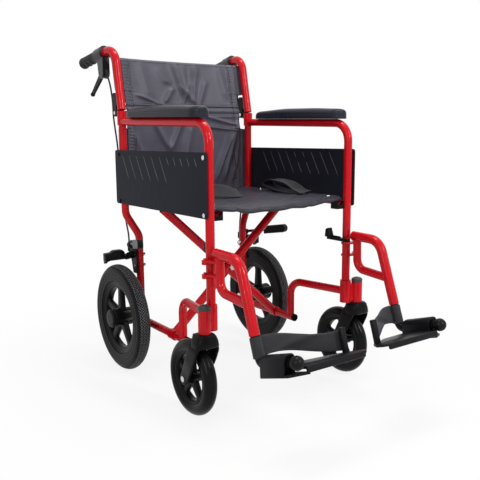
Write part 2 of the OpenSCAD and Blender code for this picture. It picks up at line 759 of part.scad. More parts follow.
// Bracket that carries the shoe, the parking lever and the cable's ferrule
module wheel_brake() {
    z0 = brake_bolts[0] - 22;
    color(black) difference() {
        union() {
            slab(bracket_x, bracket_t) polygon([
                [axle_y - 12, z0], [axle_y + 11, z0], [axle_y + 22, z0 + 38],
                [axle_y + 46, ferrule[1] - axle_y + z0 + 28],
                [axle_y + 46, ferrule[2] - 14], [axle_y + 26, park_pivot[1] + 12],
                [axle_y + 6, park_pivot[1] + 12],
                [axle_y - 12, park_pivot[1] - 20]]);
            translate(ferrule - [0, 0, 20]) cylinder(d = 11, h = 20 - free_gap);
            for (p = [shoe_pivot, park_pivot]) at_axle([bracket_x + bracket_t - 1, p[0], p[1]]) {
                cylinder(d = pin_d + 2, h = 12);
                translate([0, 0, 11]) cylinder(d = 13, h = 2);
            }
        }
        for (z = brake_bolts) translate([bracket_x - 1, axle_y, z]) rotate([0, 90, 0])
            cylinder(d = pin_d + 2 * weld_gap, h = bracket_t + 2);
    }
}

// Shoe arm and the bar that presses on the tyre, with its hooked end
module brake_shoe() {
    bar_r = 9;
    end_x = wheel_half + rear_w / 2 + 7;
    color(black) difference() {
        union() {
            slab(lever_x, 8) link_outline(shoe_pivot, 10, shoe_bar, bar_r);
            slab(lever_x, end_x - lever_x) link_outline(shoe_bar - [5, 0], 6, shoe_bar + [5, 0], 6);
            slab(end_x - 7, 7) link_outline(shoe_bar, bar_r, shoe_bar + [8, -10], 5);
        }
        translate([lever_x - 20, shoe_pivot[0], shoe_pivot[1]]) rotate([0, 90, 0])
            cylinder(d = pin_d + 2 + 2 * run_gap, h = 40);
    }
}

// Parking lever: a flat eye on its pin, a rod outwards and a broad flat grip with a round end
module park_lever() {
    run = unit(park_end - park_start);
    side = unit(cross(run, [0, 0, 1]));
    grip = 84;
    grip_h = 25;
    grip_t = 16;
    color(black) difference() {
        union() {
            slab(lever_x, 8) link_outline(park_pivot, 10, park_pivot + [-8, 3], 8);
            rod(park_start, park_end - run * 40, 9);
            place(park_end - side * grip_t / 2, run, side) {
                translate([-grip, -grip_h / 2, 0]) cube([grip - grip_h / 2, grip_h, grip_t]);
                translate([-grip_h / 2 - 0.4, 0, 0]) cylinder(r = grip_h / 2 + 0.4, h = grip_t);
            }
        }
        translate([lever_x - 20, park_pivot[0], park_pivot[1]]) rotate([0, 90, 0])
            cylinder(d = pin_d + 2 + 2 * run_gap, h = 40);
    }
}

// Swing-away hanger: bent tube, inner loop and the two lugs that hang on the swing pins
module legrest_hanger() {
    main = [hanger_start, hanger_corner, hanger_end];
    loop = [[hanger_x, loop_y, hanger_z - 8], [hanger_x, loop_y - 3, loop_low_z], loop_end];
    ear = [latch_pivot[0], latch_pivot[1]];
    color(red) difference() {
        union() {
            bar(main, hanger_bend, hanger_d);
            bar(loop, 28, loop_d);
            for (z = lug_z)
                translate([0, 0, z]) linear_extrude(lug_t)
                    link_outline([hanger_x, loop_y - 1], 10, swing, 8);
            translate([0, 0, latch_z]) linear_extrude(lug_t)
                link_outline([hanger_x, loop_y - 1], 8, ear, 7);
            translate([ear[0], ear[1], latch_z + 1]) cylinder(d = pin_d, h = lug_t + 9);
        }
        bar(main, hanger_bend, hanger_d - 2 * tube_wall, 1);
        bar(loop, 28, loop_d - 2 * tube_wall);
        for (z = lug_z) translate([swing[0], swing[1], z - 1])
            cylinder(d = swing_d + 2 * run_gap, h = lug_t + 2);
    }
}

// Spring latch that holds the hanger to the post's inner side
module swing_latch() {
    a = [latch_pivot[0], latch_pivot[1]];
    b = [latch_end[0], latch_end[1]];
    z = latch_z + lug_t + free_gap;
    color(black) difference() {
        union() {
            translate([0, 0, z]) linear_extrude(8) link_outline(a, 8, b, 5.5);
            translate([b[0], b[1], z]) cylinder(d = 11, h = 16);
            translate([b[0], b[1], z + 18]) sphere(d = 14);
        }
        translate([a[0], a[1], z - 1]) cylinder(d = pin_d + 2 * run_gap, h = 10);
    }
}

// Telescopic foot tube, the stub that the footplate turns on and its ball end
module foot_tube() {
    p = [foot_top, foot_corner, plate_origin + toe * (block_l + 4)];
    color(black) {
        pipe(p, 17, stub_d, tube_wall);
        rod(plate_origin + toe * (block_l - 6), plate_origin + toe * (block_l + 4), stub_d - tube_wall);
        rod(plate_origin + toe * (block_l + 3), ball, 14);
        translate(ball) sphere(d = ball_d);
        along(foot_top, foot_corner) difference() {
            cylinder(d = inner_d, h = 150);
            translate([0, 0, -1]) cylinder(d = stub_d - 1, h = 152);
        }
    }
}

// Footplate with its hinge block, front lip and the upright tab for the heel strap
module footplate() {
    floor_w = -plate_drop - plate_t;
    outline = [[12, 4], [96, 12], [tab_at[0], tab_at[1] - 14], [plate_l, plate_w - 32],
        [plate_l, plate_w - 10],
               [plate_l - 9, plate_w], [19, plate_w], [19, block_l - 8], [12, block_l - 8]];
    web = [[-16, 30], [26, 30], [26, plate_w], [-16, block_l + 4]];
    color("#2b2b2e") place(plate_origin, [-1, 0, 0], plate_up) difference() {
        union() {
            slab(-18, 33) polygon([[-6, -27], [block_l - 8, -27], [block_l + 6, 21], [7, 21]]);
            translate([0, 0, floor_w]) linear_extrude(plate_t) polygon(outline);
            translate([19, plate_w - 7, floor_w - 8]) cube([plate_l - 31, 7, 12]);
            translate([0, 0, -27]) linear_extrude(6) polygon(web);
            translate([tab_at[0] - 7, tab_at[1] - 6, floor_w + 1]) cube([14, 12, plate_t + strap_h + 8]);
        }
        translate([0, -50, 0]) rotate([-90, 0, 0]) cylinder(d = stub_d + 2 * run_gap, h = 300);
    }
}

// Heel strap: a sleeve round the foot tube and webbing across to the footplate's tab
module heel_strap() {
    low = hanger_end + hanger_down * 3;
    tab = plate_origin - [tab_at[0], 0, 0] + toe * (tab_at[1] - 6 - 1.6)
        + plate_up * (strap_h / 2 - plate_drop + 4);
    start = low + hanger_down * strap_h / 2 + [-12, 6, 0];
    steps = 12;
    mid = [for (i = [0 : steps])
        let (t = i / steps, p = start + (tab - start) * t)
        p + [0, 9 * sin(180 * t) + 4 * sin(360 * t), 3 * sin(360 * t)]];
    half = [for (i = [0 : steps])
        let (t = i / steps, axis = unit(plate_up * t - hanger_down * (1 - t)))
        axis * strap_h / 2 * (1 - 0.18 * sin(180 * t))];
    up = [for (i = [0 : steps]) cross(half[i], mid[min(i + 1, steps)] - mid[max(i - 1, 0)])];
    color(cloth) {
        along(low, low + hanger_down * strap_h) difference() {
            cylinder(d = inner_d + 5, h = strap_h);
            translate([0, 0, -1]) cylinder(d = inner_d + 2 * weld_gap, h = strap_h + 2);
        }
        webbing(mid, half, up, strap_t);
    }
}

// One half of the lap belt, lying on the seat cloth or standing tilted above it
module lap_belt(points) {
    flat = [for (p = smooth(points, 4)) [p[0] * seat_half, p[1], p[2], p[3]]];
    last = len(flat) - 1;
    half = [for (i = [0 : last])
        let (run = flat[min(i + 1, last)] - flat[max(i - 1, 0)], tilt = flat[i][3],
            w = belt_w / 2 * (i == last ? 0.8 : 1))
        unit([run[1], run[0], 0]) * w * cos(tilt) + [0, 0, w * sin(tilt)]];
    place_of = function (i) [flat[i][0], rear_y - 23 - flat[i][1], flat[i][2]];
    over = function (p) [p[0], p[1], p[2] + seat_top(p[0], p[1]) + belt_lift + belt_t / 2];
    edges = [for (i = [0 : last]) [over(place_of(i) - half[i]), over(place_of(i) + half[i])]];
    mid = [for (e = edges) (e[0] + e[1]) / 2];
    span = [for (e = edges) (e[1] - e[0]) / 2];
    up = [for (i = [0 : last]) cross(mid[min(i + 1, last)] - mid[max(i - 1, 0)], span[i])];
    color(cloth) webbing(mid, span, up, belt_t);
}

// One brace: a tube from its foot sleeve to the seat rail it carries, rising to the left
module brace(y, bolt_gap) {
    a = [-foot[0], y, foot[1]];
    b = [top[0], y, top[1]];
    rail = [[seat_half, seat_front + 4, seat_z], [seat_half, seat_back - 2, seat_z]];
    color(red) difference() {
        union() {
            rod(a, b, brace_d);
            translate([a[0], y - brace_sleeve_l / 2, a[2]]) rotate([-90, 0, 0])
                cylinder(d = tube_d + 7, h = brace_sleeve_l);
            bar(rail, 0, seat_rail_d);
            translate([top[0] - 9, y - 9, top[1] - 2]) cube([18, 18, brace_drop + 2]);
        }
        rod(a, b - unit(b - a) * 20, brace_d - 2 * tube_wall);
        translate([a[0], y - 40, a[2]]) rotate([-90, 0, 0]) cylinder(d = tube_d + 4 * run_gap, h = 80);
        bar(rail, 0, seat_rail_d - 2 * tube_wall, 1);
        translate([0, y - 30, cross_z]) rotate([-90, 0, 0])
            cylinder(d = brace_bolt_d + 2 * bolt_gap, h = 60);
    }
}

module brace_front() {
    brace(brace_front_y, run_gap);
}

module brace_rear() {
    mirrored() brace(brace_rear_y, run_gap);
}

// Pivot bolt where the braces cross, with its washer between them
module brace_bolt() {
    front = brace_front_y - brace_d / 2 - free_gap;
    back = brace_rear_y + brace_d / 2 + free_gap;
    color(silver) translate([0, front, cross_z]) rotate([-90, 0, 0]) {
        cylinder(d = brace_bolt_d, h = back - front);
        translate([0, 0, -6]) screw_head_flat();
        translate([0, 0, back - front]) cylinder(d = 17, h = 7, $fn = 6);
        translate([0, 0, brace_d + 2 * free_gap]) cylinder(d = 22, h = 2 - 2 * free_gap);
    }
}

module screw_head_flat() {
    cylinder(d = 18, h = 6, $fn = 6);
}

module seat_sling() {
    edge = seat_half + 8;
    color(cloth) sheet(
        function (u, v) let (x = (2 * u - 1) * edge, y = seat_front + v * (seat_back - seat_front))
            [x, y, seat_top(min(max(x, -seat_half), seat_half), y) - fabric_t],
        [0, 0, fabric_t], 24, 14);
}

// Upper half of the back, behind the canes, drawn in beside the hinges
module back_sling_upper() {
    notch_z = pin_z + 62;
    low_z = hinge_z + 5;
    levels = [low_z, low_z + 20, notch_z - 3, notch_z, notch_z + 34, notch_z + 66, back_top_z - 5,
        back_top_z];
    wide = post_half + 6;
    narrow = post_half - cane_d / 2 - 4;
    color(cloth) sheet(
        function (u, v)
            let (i = round(v * (len(levels) - 1)), z = levels[i], half = z < notch_z - 1 ? narrow : wide,
                 x = (2 * u - 1) * half, s = 1 - pow(x / wide, 2))
            [x, cane_back(z) + cloth_gap + 22 * s + 3 * s * sin(2.4 * x + 0.7 * (z - low_z)), z],
        [0, fabric_t, 0], 26, len(levels) - 1);
}

// Lower half of the back, behind the posts, from the seat up to the fold band
module back_sling_lower() {
    notch_z = hinge_z - collar_h - 12;
    high_z = hinge_z + 3;
    low_z = seat_z - 5;
    levels = [low_z, low_z + 50, low_z + 100, low_z + 150, notch_z, notch_z + 3, high_z - 16, high_z];
    wide = post_half + 6;
    narrow = post_half - collar_d / 2 - 4;
    color(cloth) sheet(
        function (u, v)
            let (i = round(v * (len(levels) - 1)), z = levels[i], half = z > notch_z + 1 ? narrow : wide,
                 x = (2 * u - 1) * half, s = 1 - pow(x / wide, 2))
            [x, rear_y + tube_d / 2 + free_gap + 19 * s + 3.5 * s * sin(1.9 * x - 1.3 * (z - low_z)), z],
        [0, fabric_t, 0], 26, len(levels) - 1);
}

arm_tube();  // arm_tube_left
mirrored() arm_tube();  // arm_tube_right
rear_post();  // rear_post_left
mirrored() rear_post();  // rear_post_right
lower_frame();  // lower_frame_left
mirrored() lower_frame();  // lower_frame_right
frame_plugs();  // frame_plugs_left
mirrored() frame_plugs();  // frame_plugs_right
frame_bolts();  // frame_bolts_left
mirrored() frame_bolts();  // frame_bolts_right
rear_tyre();  // rear_tyre_left
mirrored() rear_tyre();  // rear_tyre_right
rear_rim();  // rear_rim_left
mirrored() rear_rim();  // rear_rim_right
caster_fork();  // caster_fork_left
mirrored() caster_fork();  // caster_fork_right
caster_wheel();  // caster_wheel_left
mirrored() caster_wheel();  // caster_wheel_right
caster_axle();  // caster_axle_left
mirrored() caster_axle();  // caster_axle_right
arm_pad();  // arm_pad_left
mirrored() arm_pad();  // arm_pad_right
side_panel();  // side_panel_left
mirrored() side_panel();  // side_panel_right
back_cane();  // back_cane_left
mirrored() back_cane();  // back_cane_right
push_grip();  // push_grip_left
mirrored() push_grip();  // push_grip_right
brake_clamp();  // brake_clamp_left
mirrored() brake_clamp();  // brake_clamp_right
brake_lever();  // brake_lever_left
mirrored() brake_lever();  // brake_lever_right
brake_cable();  // brake_cable_left
mirrored() brake_cable();  // brake_cable_right
back_hinge();  // back_hinge_left
mirrored() back_hinge();  // back_hinge_right
wheel_brake();  // wheel_brake_left
mirrored() wheel_brake();  // wheel_brake_right
brake_shoe();  // brake_shoe_left
mirrored() brake_shoe();  // brake_shoe_right
park_lever();  // park_lever_left
mirrored() park_lever();  // park_lever_right
legrest_hanger();  // legrest_hanger_left
mirrored() legrest_hanger();  // legrest_hanger_right
swing_latch();  // swing_latch_left
mirrored() swing_latch();  // swing_latch_right
foot_tube();  // foot_tube_left
mirrored() foot_tube();  // foot_tube_right
footplate();  // footplate_left
mirrored() footplate();  // footplate_right
heel_strap();  // heel_strap_left
mirrored() heel_strap();  // heel_strap_right
lap_belt(belt_left);  // lap_belt_left
lap_belt(belt_right);  // lap_belt_right
brace_front();
brace_rear();
brace_bolt();
seat_sling();
back_sling_upper();
back_sling_lower();
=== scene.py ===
# %% [markdown]
# # A folding transport wheelchair, dressed over its construction model
# The construction model gives every tube, wheel and bracket its size and place. This script keeps
# that frame and adds what a construction model leaves out: cloth with its folds and stitching,
# moulded pads, treaded tyres, soft grips and the finish of each surface. Everything is in metres,
# with +Z up and the chair facing -Y.

import json

import bmesh
import bpy
import numpy as np
from mathutils import Matrix, Vector

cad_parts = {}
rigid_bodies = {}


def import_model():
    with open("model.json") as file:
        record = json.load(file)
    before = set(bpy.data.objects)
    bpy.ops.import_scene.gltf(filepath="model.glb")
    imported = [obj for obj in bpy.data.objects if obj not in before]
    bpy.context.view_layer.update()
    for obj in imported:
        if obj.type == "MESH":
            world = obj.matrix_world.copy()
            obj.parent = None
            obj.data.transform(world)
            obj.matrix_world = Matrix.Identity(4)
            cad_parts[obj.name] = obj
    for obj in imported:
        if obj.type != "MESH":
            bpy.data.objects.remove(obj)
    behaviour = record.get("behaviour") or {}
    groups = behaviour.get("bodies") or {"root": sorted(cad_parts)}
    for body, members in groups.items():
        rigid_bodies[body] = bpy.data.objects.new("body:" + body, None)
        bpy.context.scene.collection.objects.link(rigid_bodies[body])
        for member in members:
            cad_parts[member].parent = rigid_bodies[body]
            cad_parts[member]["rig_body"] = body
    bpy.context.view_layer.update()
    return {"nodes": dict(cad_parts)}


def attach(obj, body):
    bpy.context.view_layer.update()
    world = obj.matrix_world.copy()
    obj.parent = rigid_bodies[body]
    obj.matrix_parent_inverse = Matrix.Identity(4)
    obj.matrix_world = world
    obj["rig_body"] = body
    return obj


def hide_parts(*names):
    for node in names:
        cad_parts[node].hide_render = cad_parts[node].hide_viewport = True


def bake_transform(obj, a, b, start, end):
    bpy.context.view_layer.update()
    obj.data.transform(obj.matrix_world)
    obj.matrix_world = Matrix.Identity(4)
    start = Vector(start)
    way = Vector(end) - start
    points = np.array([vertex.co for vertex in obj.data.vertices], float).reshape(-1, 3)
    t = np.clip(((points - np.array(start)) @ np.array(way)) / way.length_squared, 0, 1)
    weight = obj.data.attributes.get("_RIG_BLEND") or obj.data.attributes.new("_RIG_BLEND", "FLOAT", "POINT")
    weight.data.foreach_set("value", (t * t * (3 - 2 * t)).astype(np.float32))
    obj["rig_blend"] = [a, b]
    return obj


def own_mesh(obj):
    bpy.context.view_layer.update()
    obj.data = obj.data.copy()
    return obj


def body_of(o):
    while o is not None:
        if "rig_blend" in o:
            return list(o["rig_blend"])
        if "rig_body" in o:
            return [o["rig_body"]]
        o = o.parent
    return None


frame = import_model()
nodes = frame["nodes"]
scene = bpy.context.scene
scene.view_settings.view_transform = "Standard"

# %% [markdown]
# ## Camera
# A camera could be moved by eye until the render fits. Here the photograph was matched to the
# chair's three overall sizes instead, which gives the camera's place, its turn and its focal length
# at once. The picture's centre is a few pixels off the lens axis, so a very small shift is set too.

# %% Camera
eye = np.array([-1.01504, -1.42517, 0.67548])
yaw, pitch, roll = 0.607956, 0.161401, -0.008373
picture_pixels, focal_pixels, centre_pixels = 480, 639.15, (235.92, 240.53)
sensor_mm = 36

ahead = np.array([np.sin(yaw) * np.cos(pitch), np.cos(yaw) * np.cos(pitch), -np.sin(pitch)])
level = np.array([np.cos(yaw), -np.sin(yaw), 0.0])
above = np.cross(level, ahead)
right = np.cos(roll) * level + np.sin(roll) * above
upward = -np.sin(roll) * level + np.cos(roll) * above

lens = bpy.data.cameras.new("camera")
camera = bpy.data.objects.new("camera", lens)
scene.collection.objects.link(camera)
turn_and_place = np.column_stack([right, upward, -ahead, eye])
camera.matrix_world = Matrix(np.vstack([turn_and_place, [0, 0, 0, 1]]).tolist())
lens.sensor_width = sensor_mm
lens.lens = sensor_mm * focal_pixels / picture_pixels
lens.shift_x = (picture_pixels / 2 - centre_pixels[0]) / picture_pixels
lens.shift_y = (centre_pixels[1] - picture_pixels / 2) / picture_pixels
lens.clip_end = 60
scene.camera = camera
print("lens %.1f mm" % lens.lens)

# %% [markdown]
# ## Meshes from arrays
# Most new pieces are a sheet of points: rows along one direction, columns along the other. They
# could be modelled by hand, but a surface worked out from a formula keeps to the frame's sizes. A
# few helpers turn such a grid into a mesh, and close it into a tube or a ring where it goes round.

# %% Grid meshes
def grid_quads(rows, columns, wrap_rows=False, wrap_columns=False):
    """Corner numbers of the quads of a grid, which may close on itself either way."""
    r = np.arange(rows if wrap_rows else rows - 1)[:, None]
    c = np.arange(columns if wrap_columns else columns - 1)[None, :]
    r2, c2 = (r + 1) % rows, (c + 1) % columns
    corners = [r * columns + c, r * columns + c2, r2 * columns + c2, r2 * columns + c]
    return np.stack(np.broadcast_arrays(*corners), -1).reshape(-1, 4).tolist()


def capped(grid):
    """Points and faces of a tube of rings (rows, columns, 3) with both ends closed."""
    rows, columns = grid.shape[:2]
    ends = [list(range(columns))[::-1], list(range((rows - 1) * columns, rows * columns))]
    return grid.reshape(-1, 3), grid_quads(rows, columns, wrap_columns=True) + ends


def make_piece(name, points, faces, material, uv=None):
    """A smooth mesh object at the origin from points (n, 3), corner lists and a UV for each point."""
    mesh = bpy.data.meshes.new(name)
    places = np.asarray(points, float).reshape(-1, 3).tolist()
    mesh.from_pydata(places, [], [list(map(int, face)) for face in faces])
    mesh.update()
    if uv is not None:
        corner = np.zeros(len(mesh.loops), np.int32)
        mesh.loops.foreach_get("vertex_index", corner)
        layer = mesh.uv_layers.new(name="UVMap")
        layer.data.foreach_set("uv", np.asarray(uv, np.float32).reshape(-1, 2)[corner].ravel())
    mesh.polygons.foreach_set("use_smooth", np.full(len(mesh.polygons), True))
    mesh.materials.append(material)
    piece = bpy.data.objects.new(name, mesh)
    scene.collection.objects.link(piece)
    return piece


def grid_piece(name, points, material, uv, wrap_rows=False):
    """A grid of points (rows, columns, 3) with a UV for each point, as a mesh."""
    return make_piece(name, points, grid_quads(*points.shape[:2], wrap_rows), material, uv)


def outward(piece):
    """Merges doubled points, which closes seams and poles, and turns the faces outwards."""
    work = bmesh.new()
    work.from_mesh(piece.data)
    bmesh.ops.remove_doubles(work, verts=work.verts, dist=1e-6)
    bmesh.ops.dissolve_degenerate(work, edges=work.edges, dist=1e-7)
    bmesh.ops.recalc_face_normals(work, faces=work.faces)
    work.to_mesh(piece.data)
    work.free()
    return piece


def joined(name, shells, material):
    """Several closed shells, each (points, faces), as one mesh with its faces outwards."""
    points, faces, count = [], [], 0
    for shell_points, shell_faces in shells:
        points.append(np.asarray(shell_points, float).reshape(-1, 3))
        faces += [[i + count for i in face] for face in shell_faces]
        count += len(points[-1])
    return outward(make_piece(name, np.concatenate(points), faces, material))


def thickened(piece, thickness, offset=-1.0):
    """Gives a sheet its thickness with a Solidify modifier, on the side away from its normals."""
    wall = piece.modifiers.new("thickness", "SOLIDIFY")
    wall.thickness = thickness
    wall.offset = offset
    return piece


# %% [markdown]
# ## Curves and profiles
# A belt, a cable or a moulded leg is a profile carried along a path. Curve objects could do this,
# but a profile that changes on its way is easier to write as arrays. The path is smoothed through a
# few chosen points, and two directions square to it carry the profile.

# %% Paths
x_axis, y_axis, z_axis = np.eye(3)


def smooth_path(points, steps):
    """Points on a Catmull-Rom curve through the given points, with so many steps to each span."""
    p = np.asarray(points, float)
    p = np.vstack([2 * p[0] - p[1], p, 2 * p[-1] - p[-2]])
    t = np.linspace(0, 1, steps, endpoint=False)[:, None]
    spans = [
        (2 * b + (c - a) * t + (2 * a - 5 * b + 4 * c - d) * t**2 + (3 * b - a - 3 * c + d) * t**3) / 2
        for a, b, c, d in zip(p, p[1:], p[2:], p[3:])
    ]
    return np.vstack(spans + [p[-2:-1]])


def unit(v):
    """Vectors divided by their lengths."""
    return v / np.linalg.norm(v, axis=-1, keepdims=True)


def runs_of(path):
    """Directions along a path, from the differences of its points."""
    return unit(np.gradient(path, axis=0))


def distances(path):
    """How far along the path each of its points lies: the sum of the steps before it."""
    return np.concatenate([[0], np.cumsum(np.linalg.norm(np.diff(path, axis=0), axis=1))])


def tube_grid(path, radius, count):
    """Rings about a path: centre + radius * (cos a * n + sin a * b), n and b square to the run."""
    run = runs_of(path)
    n = unit(np.cross(run, x_axis))
    b = np.cross(run, n)
    a = np.linspace(0, 2 * np.pi, count, endpoint=False)[:, None]
    return path[:, None] + radius * (np.cos(a) * n[:, None] + np.sin(a) * b[:, None])


# %% Profiles
def loft_shell(path, across, along, half_a, half_b, power, count=28):
    """A closed bar whose rounded-box section has half sizes half_a and half_b on two directions. A
    point at angle t is at sign(cos t)|cos t|^(2/power) and the same of sin t, times those sizes."""
    t = np.linspace(0, 2 * np.pi, count, endpoint=False)
    grid = path[:, None]
    for wave, half, way in ((np.cos(t), half_a, across), (np.sin(t), half_b, along)):
        share = np.sign(wave) * np.abs(wave) ** (2 / power)
        size = np.broadcast_to(half, len(path))[:, None] * share
        grid = grid + size[..., None] * np.broadcast_to(way, path.shape)[:, None]
    return capped(grid)


def rounded(points, reach, steps=5, ring=True):
    """A polygon with each corner p eased into the curve (1-t)(1-t)a + 2t(1-t)p + t*t*b, where a and b
    lie on its two sides, at most reach away. An open profile keeps its two end points."""
    p = np.asarray(points, float)
    ends = []
    for side in (np.roll(p, 1, 0) - p, np.roll(p, -1, 0) - p):
        size = np.maximum(np.linalg.norm(side, axis=1), 1e-9)[:, None]
        ends.append((p + side / size * np.minimum(reach, 0.45 * size))[:, None])
    t = np.linspace(0, 1, steps)[None, :, None]
    arcs = (1 - t) ** 2 * ends[0] + 2 * t * (1 - t) * p[:, None] + t**2 * ends[1]
    if not ring:
        arcs[0], arcs[-1] = p[0], p[-1]
    return arcs.reshape(-1, 2)


def lathe_grid(profile, centre, axis, start, turns, cut=None):
    """A profile of (radius, along) pairs turned about an axis from a start direction, with the first
    column repeated at the end; cut(angle, row) is taken off the radius."""
    profile = np.asarray(profile, float)
    a = np.linspace(0, 2 * np.pi, turns + 1)
    radius = np.repeat(profile[:, :1], turns + 1, 1)
    if cut is not None:
        radius = radius - cut(a[None, :], np.arange(len(profile))[:, None])
    ring = np.cos(a)[:, None] * start + np.sin(a)[:, None] * np.cross(axis, start)
    return np.asarray(centre) + radius[..., None] * ring + profile[:, 1, None, None] * axis


def turned_shell(profile, centre, axis, start, turns, ring=True, cut=None):
    """Points and faces of a lathe; a ring's profile closes on itself, others run from pole to pole."""
    grid = lathe_grid(profile, centre, axis, start, turns, cut)
    return grid, grid_quads(*grid.shape[:2], wrap_rows=ring)


# %% Steps and folds
def ease(t):
    """Smooth step from 0 to 1: t * t * (3 - 2t)."""
    t = np.clip(t, 0, 1)
    return t * t * (3 - 2 * t)


def quarter(t):
    """A quarter circle from 0 to 1."""
    return np.sqrt(1 - (1 - np.clip(t, 0, 1)) ** 2)


def bell(off, width):
    """A smooth hump: e to the power of minus (off / width) squared."""
    return np.exp(-((off / width) ** 2))


def crease(u, v, a, b, width, height):
    """A fold along the line from a to b: a tight ridge on a broad bell, fading towards both ends."""
    (a_u, a_v), (d_u, d_v) = a, np.subtract(b, a)
    long = d_u**2 + d_v**2
    t = ((u - a_u) * d_u + (v - a_v) * d_v) / long
    off = ((u - a_u) * d_v - (v - a_v) * d_u) / np.sqrt(long)
    hump = 0.9 * bell(off, width) + 0.16 * np.exp(-np.abs(off) / (0.42 * width))
    return height * hump * ease(t / 0.35 + 0.5) * ease((1 - t) / 0.35 + 0.5)


# %% [markdown]
# ## Shared effects
# Moulded plastic, rubber and paint all have a fine grain, and every cloth has a weave. Each material
# could hold its own copy of these nodes. Here each effect is one shader group with named inputs, so
# that a material sets only its own scale and strength.

# %% Shader helpers
def feed(tree, socket, value):
    """Links another node's output to a socket, or sets a plain value on it."""
    if isinstance(value, bpy.types.NodeSocket):
        tree.links.new(value, socket)
    else:
        socket.default_value = value


def add_node(tree, kind, inputs, **settings):
    """A new node with its settings, and with its inputs, by label or number, linked or set."""
    node = tree.nodes.new("ShaderNode" + kind)
    for label, value in settings.items():
        setattr(node, label, value)
    for label, value in inputs.items():
        feed(tree, node.inputs[label], value)
    return node


def math_node(tree, operation, *values):
    """The output of a Math node that works on the given values."""
    return add_node(tree, "Math", dict(enumerate(values)), operation=operation).outputs[0]


def noise_node(tree, vector, scale, detail):
    """The output of a Noise node, from 0 to 1."""
    inputs = {"Vector": vector, "Scale": scale, "Detail": detail, "Roughness": 0.55}
    return add_node(tree, "TexNoise", inputs).outputs["Fac"]


def new_group(name, inputs, outputs):
    """A shader group. An input with no value is a vector, and every other socket is a number."""
    group = bpy.data.node_groups.new(name, "ShaderNodeTree")
    for label, value in inputs.items():
        kind = "NodeSocketVector" if value is None else "NodeSocketFloat"
        socket = group.interface.new_socket(label, in_out="INPUT", socket_type=kind)
        if value is not None:
            socket.default_value = value
    for label in outputs:
        group.interface.new_socket(label, in_out="OUTPUT", socket_type="NodeSocketFloat")
    return group, group.nodes.new("NodeGroupInput").outputs, group.nodes.new("NodeGroupOutput").inputs


# %% Grain: fine bumps, and a slow drift of tone over the whole piece
grain, source, target = new_group("surface_grain", {"Vector": None, "Scale": 900.0}, ["Height", "Drift"])
feed(grain, target["Height"], noise_node(grain, source["Vector"], source["Scale"], 2.0))
feed(grain, target["Drift"], noise_node(grain, source["Vector"], 9.0, 4.0))

# %% Weave: threads that go over and under each other, from a UV map in metres
weave, source, target = new_group("woven_threads", {"UV": None, "Pitch": 0.0012}, ["Height", "Gap", "Drift"])
split = add_node(weave, "SeparateXYZ", {0: source["UV"]}).outputs
phase = [math_node(weave, "DIVIDE", split[i], source["Pitch"]) for i in (0, 1)]
wave = [math_node(weave, "SINE", math_node(weave, "MULTIPLY", p, np.pi)) for p in phase]
over = math_node(weave, "MULTIPLY", *wave)
gap = math_node(weave, "MINIMUM", *[math_node(weave, "ABSOLUTE", w) for w in wave])
feed(weave, target["Height"], math_node(weave, "MULTIPLY_ADD", over, 0.5, 0.5))
feed(weave, target["Gap"], math_node(weave, "LESS_THAN", gap, 0.28))
feed(weave, target["Drift"], noise_node(weave, source["UV"], 14.0, 5.0))

# %% Stitches: a dashed line where the across coordinate equals a set place
stitch_inputs = {"Across": 0.0, "Along": 0.0, "Place": 0.19, "Half Width": 0.0011, "Pitch": 0.0065}
stitch, source, target = new_group("stitch_row", stitch_inputs, ["Mask"])
off = math_node(stitch, "ABSOLUTE", math_node(stitch, "SUBTRACT", source["Across"], source["Place"]))
on_line = math_node(stitch, "LESS_THAN", off, source["Half Width"])
dash = math_node(stitch, "FRACT", math_node(stitch, "DIVIDE", source["Along"], source["Pitch"]))
on_dash = math_node(stitch, "LESS_THAN", dash, 0.68)
feed(stitch, target["Mask"], math_node(stitch, "MULTIPLY", on_line, on_dash))

# %% Tread: two crossing sets of ridges in a band along the middle, from a UV map in metres
tread_inputs = {"UV": None, "Pitch": 0.0036, "Half Band": 0.0125}
tread, source, target = new_group("crossed_ridges", tread_inputs, ["Height"])
split = add_node(tread, "SeparateXYZ", {0: source["UV"]}).outputs
slants = [math_node(tread, kind, split[0], split[1]) for kind in ("ADD", "SUBTRACT")]
turns = [math_node(tread, "DIVIDE", slant, source["Pitch"]) for slant in slants]
waves = [math_node(tread, "SINE", math_node(tread, "MULTIPLY", turn, 2 * np.pi)) for turn in turns]
band = math_node(tread, "LESS_THAN", math_node(tread, "ABSOLUTE", split[1]), source["Half Band"])
feed(tread, target["Height"], math_node(tread, "MULTIPLY", math_node(tread, "MAXIMUM", *waves), band))
print("groups:", [g.name for g in bpy.data.node_groups])

# %% [markdown]
# ## Finishes
# The tubes are red powder coat under a clear gloss. The plastics are black with a moulded grain, the
# rubber is duller, and the fasteners are plated steel. Flat colours would look like toys, so one
# builder lets every colour and gloss drift a little and adds the grain as a bump.

# %% Finish builder
def new_material(name):
    """A material, its node tree, its shader's inputs and its texture coordinates."""
    made = bpy.data.materials.new(name)
    made.use_nodes = True
    tree = made.node_tree
    return made, tree, tree.nodes["Principled BSDF"].inputs, add_node(tree, "TexCoord", {}).outputs


def tone_ramp(tree, drift, tones, places):
    """A colour that goes from one tone to another while the drift goes between two places."""
    ramp = add_node(tree, "ValToRGB", {0: drift})
    for stop, tone, place in zip(ramp.color_ramp.elements, tones, places):
        stop.color = (*tone, 1)
        stop.position = place
    return ramp.outputs[0]


def mixed_colour(tree, share, plain, other):
    """A plain colour with a share of another one over it."""
    inputs = {"Factor": share, "A": plain, "B": (*other, 1)}
    return add_node(tree, "Mix", inputs, data_type="RGBA").outputs["Result"]


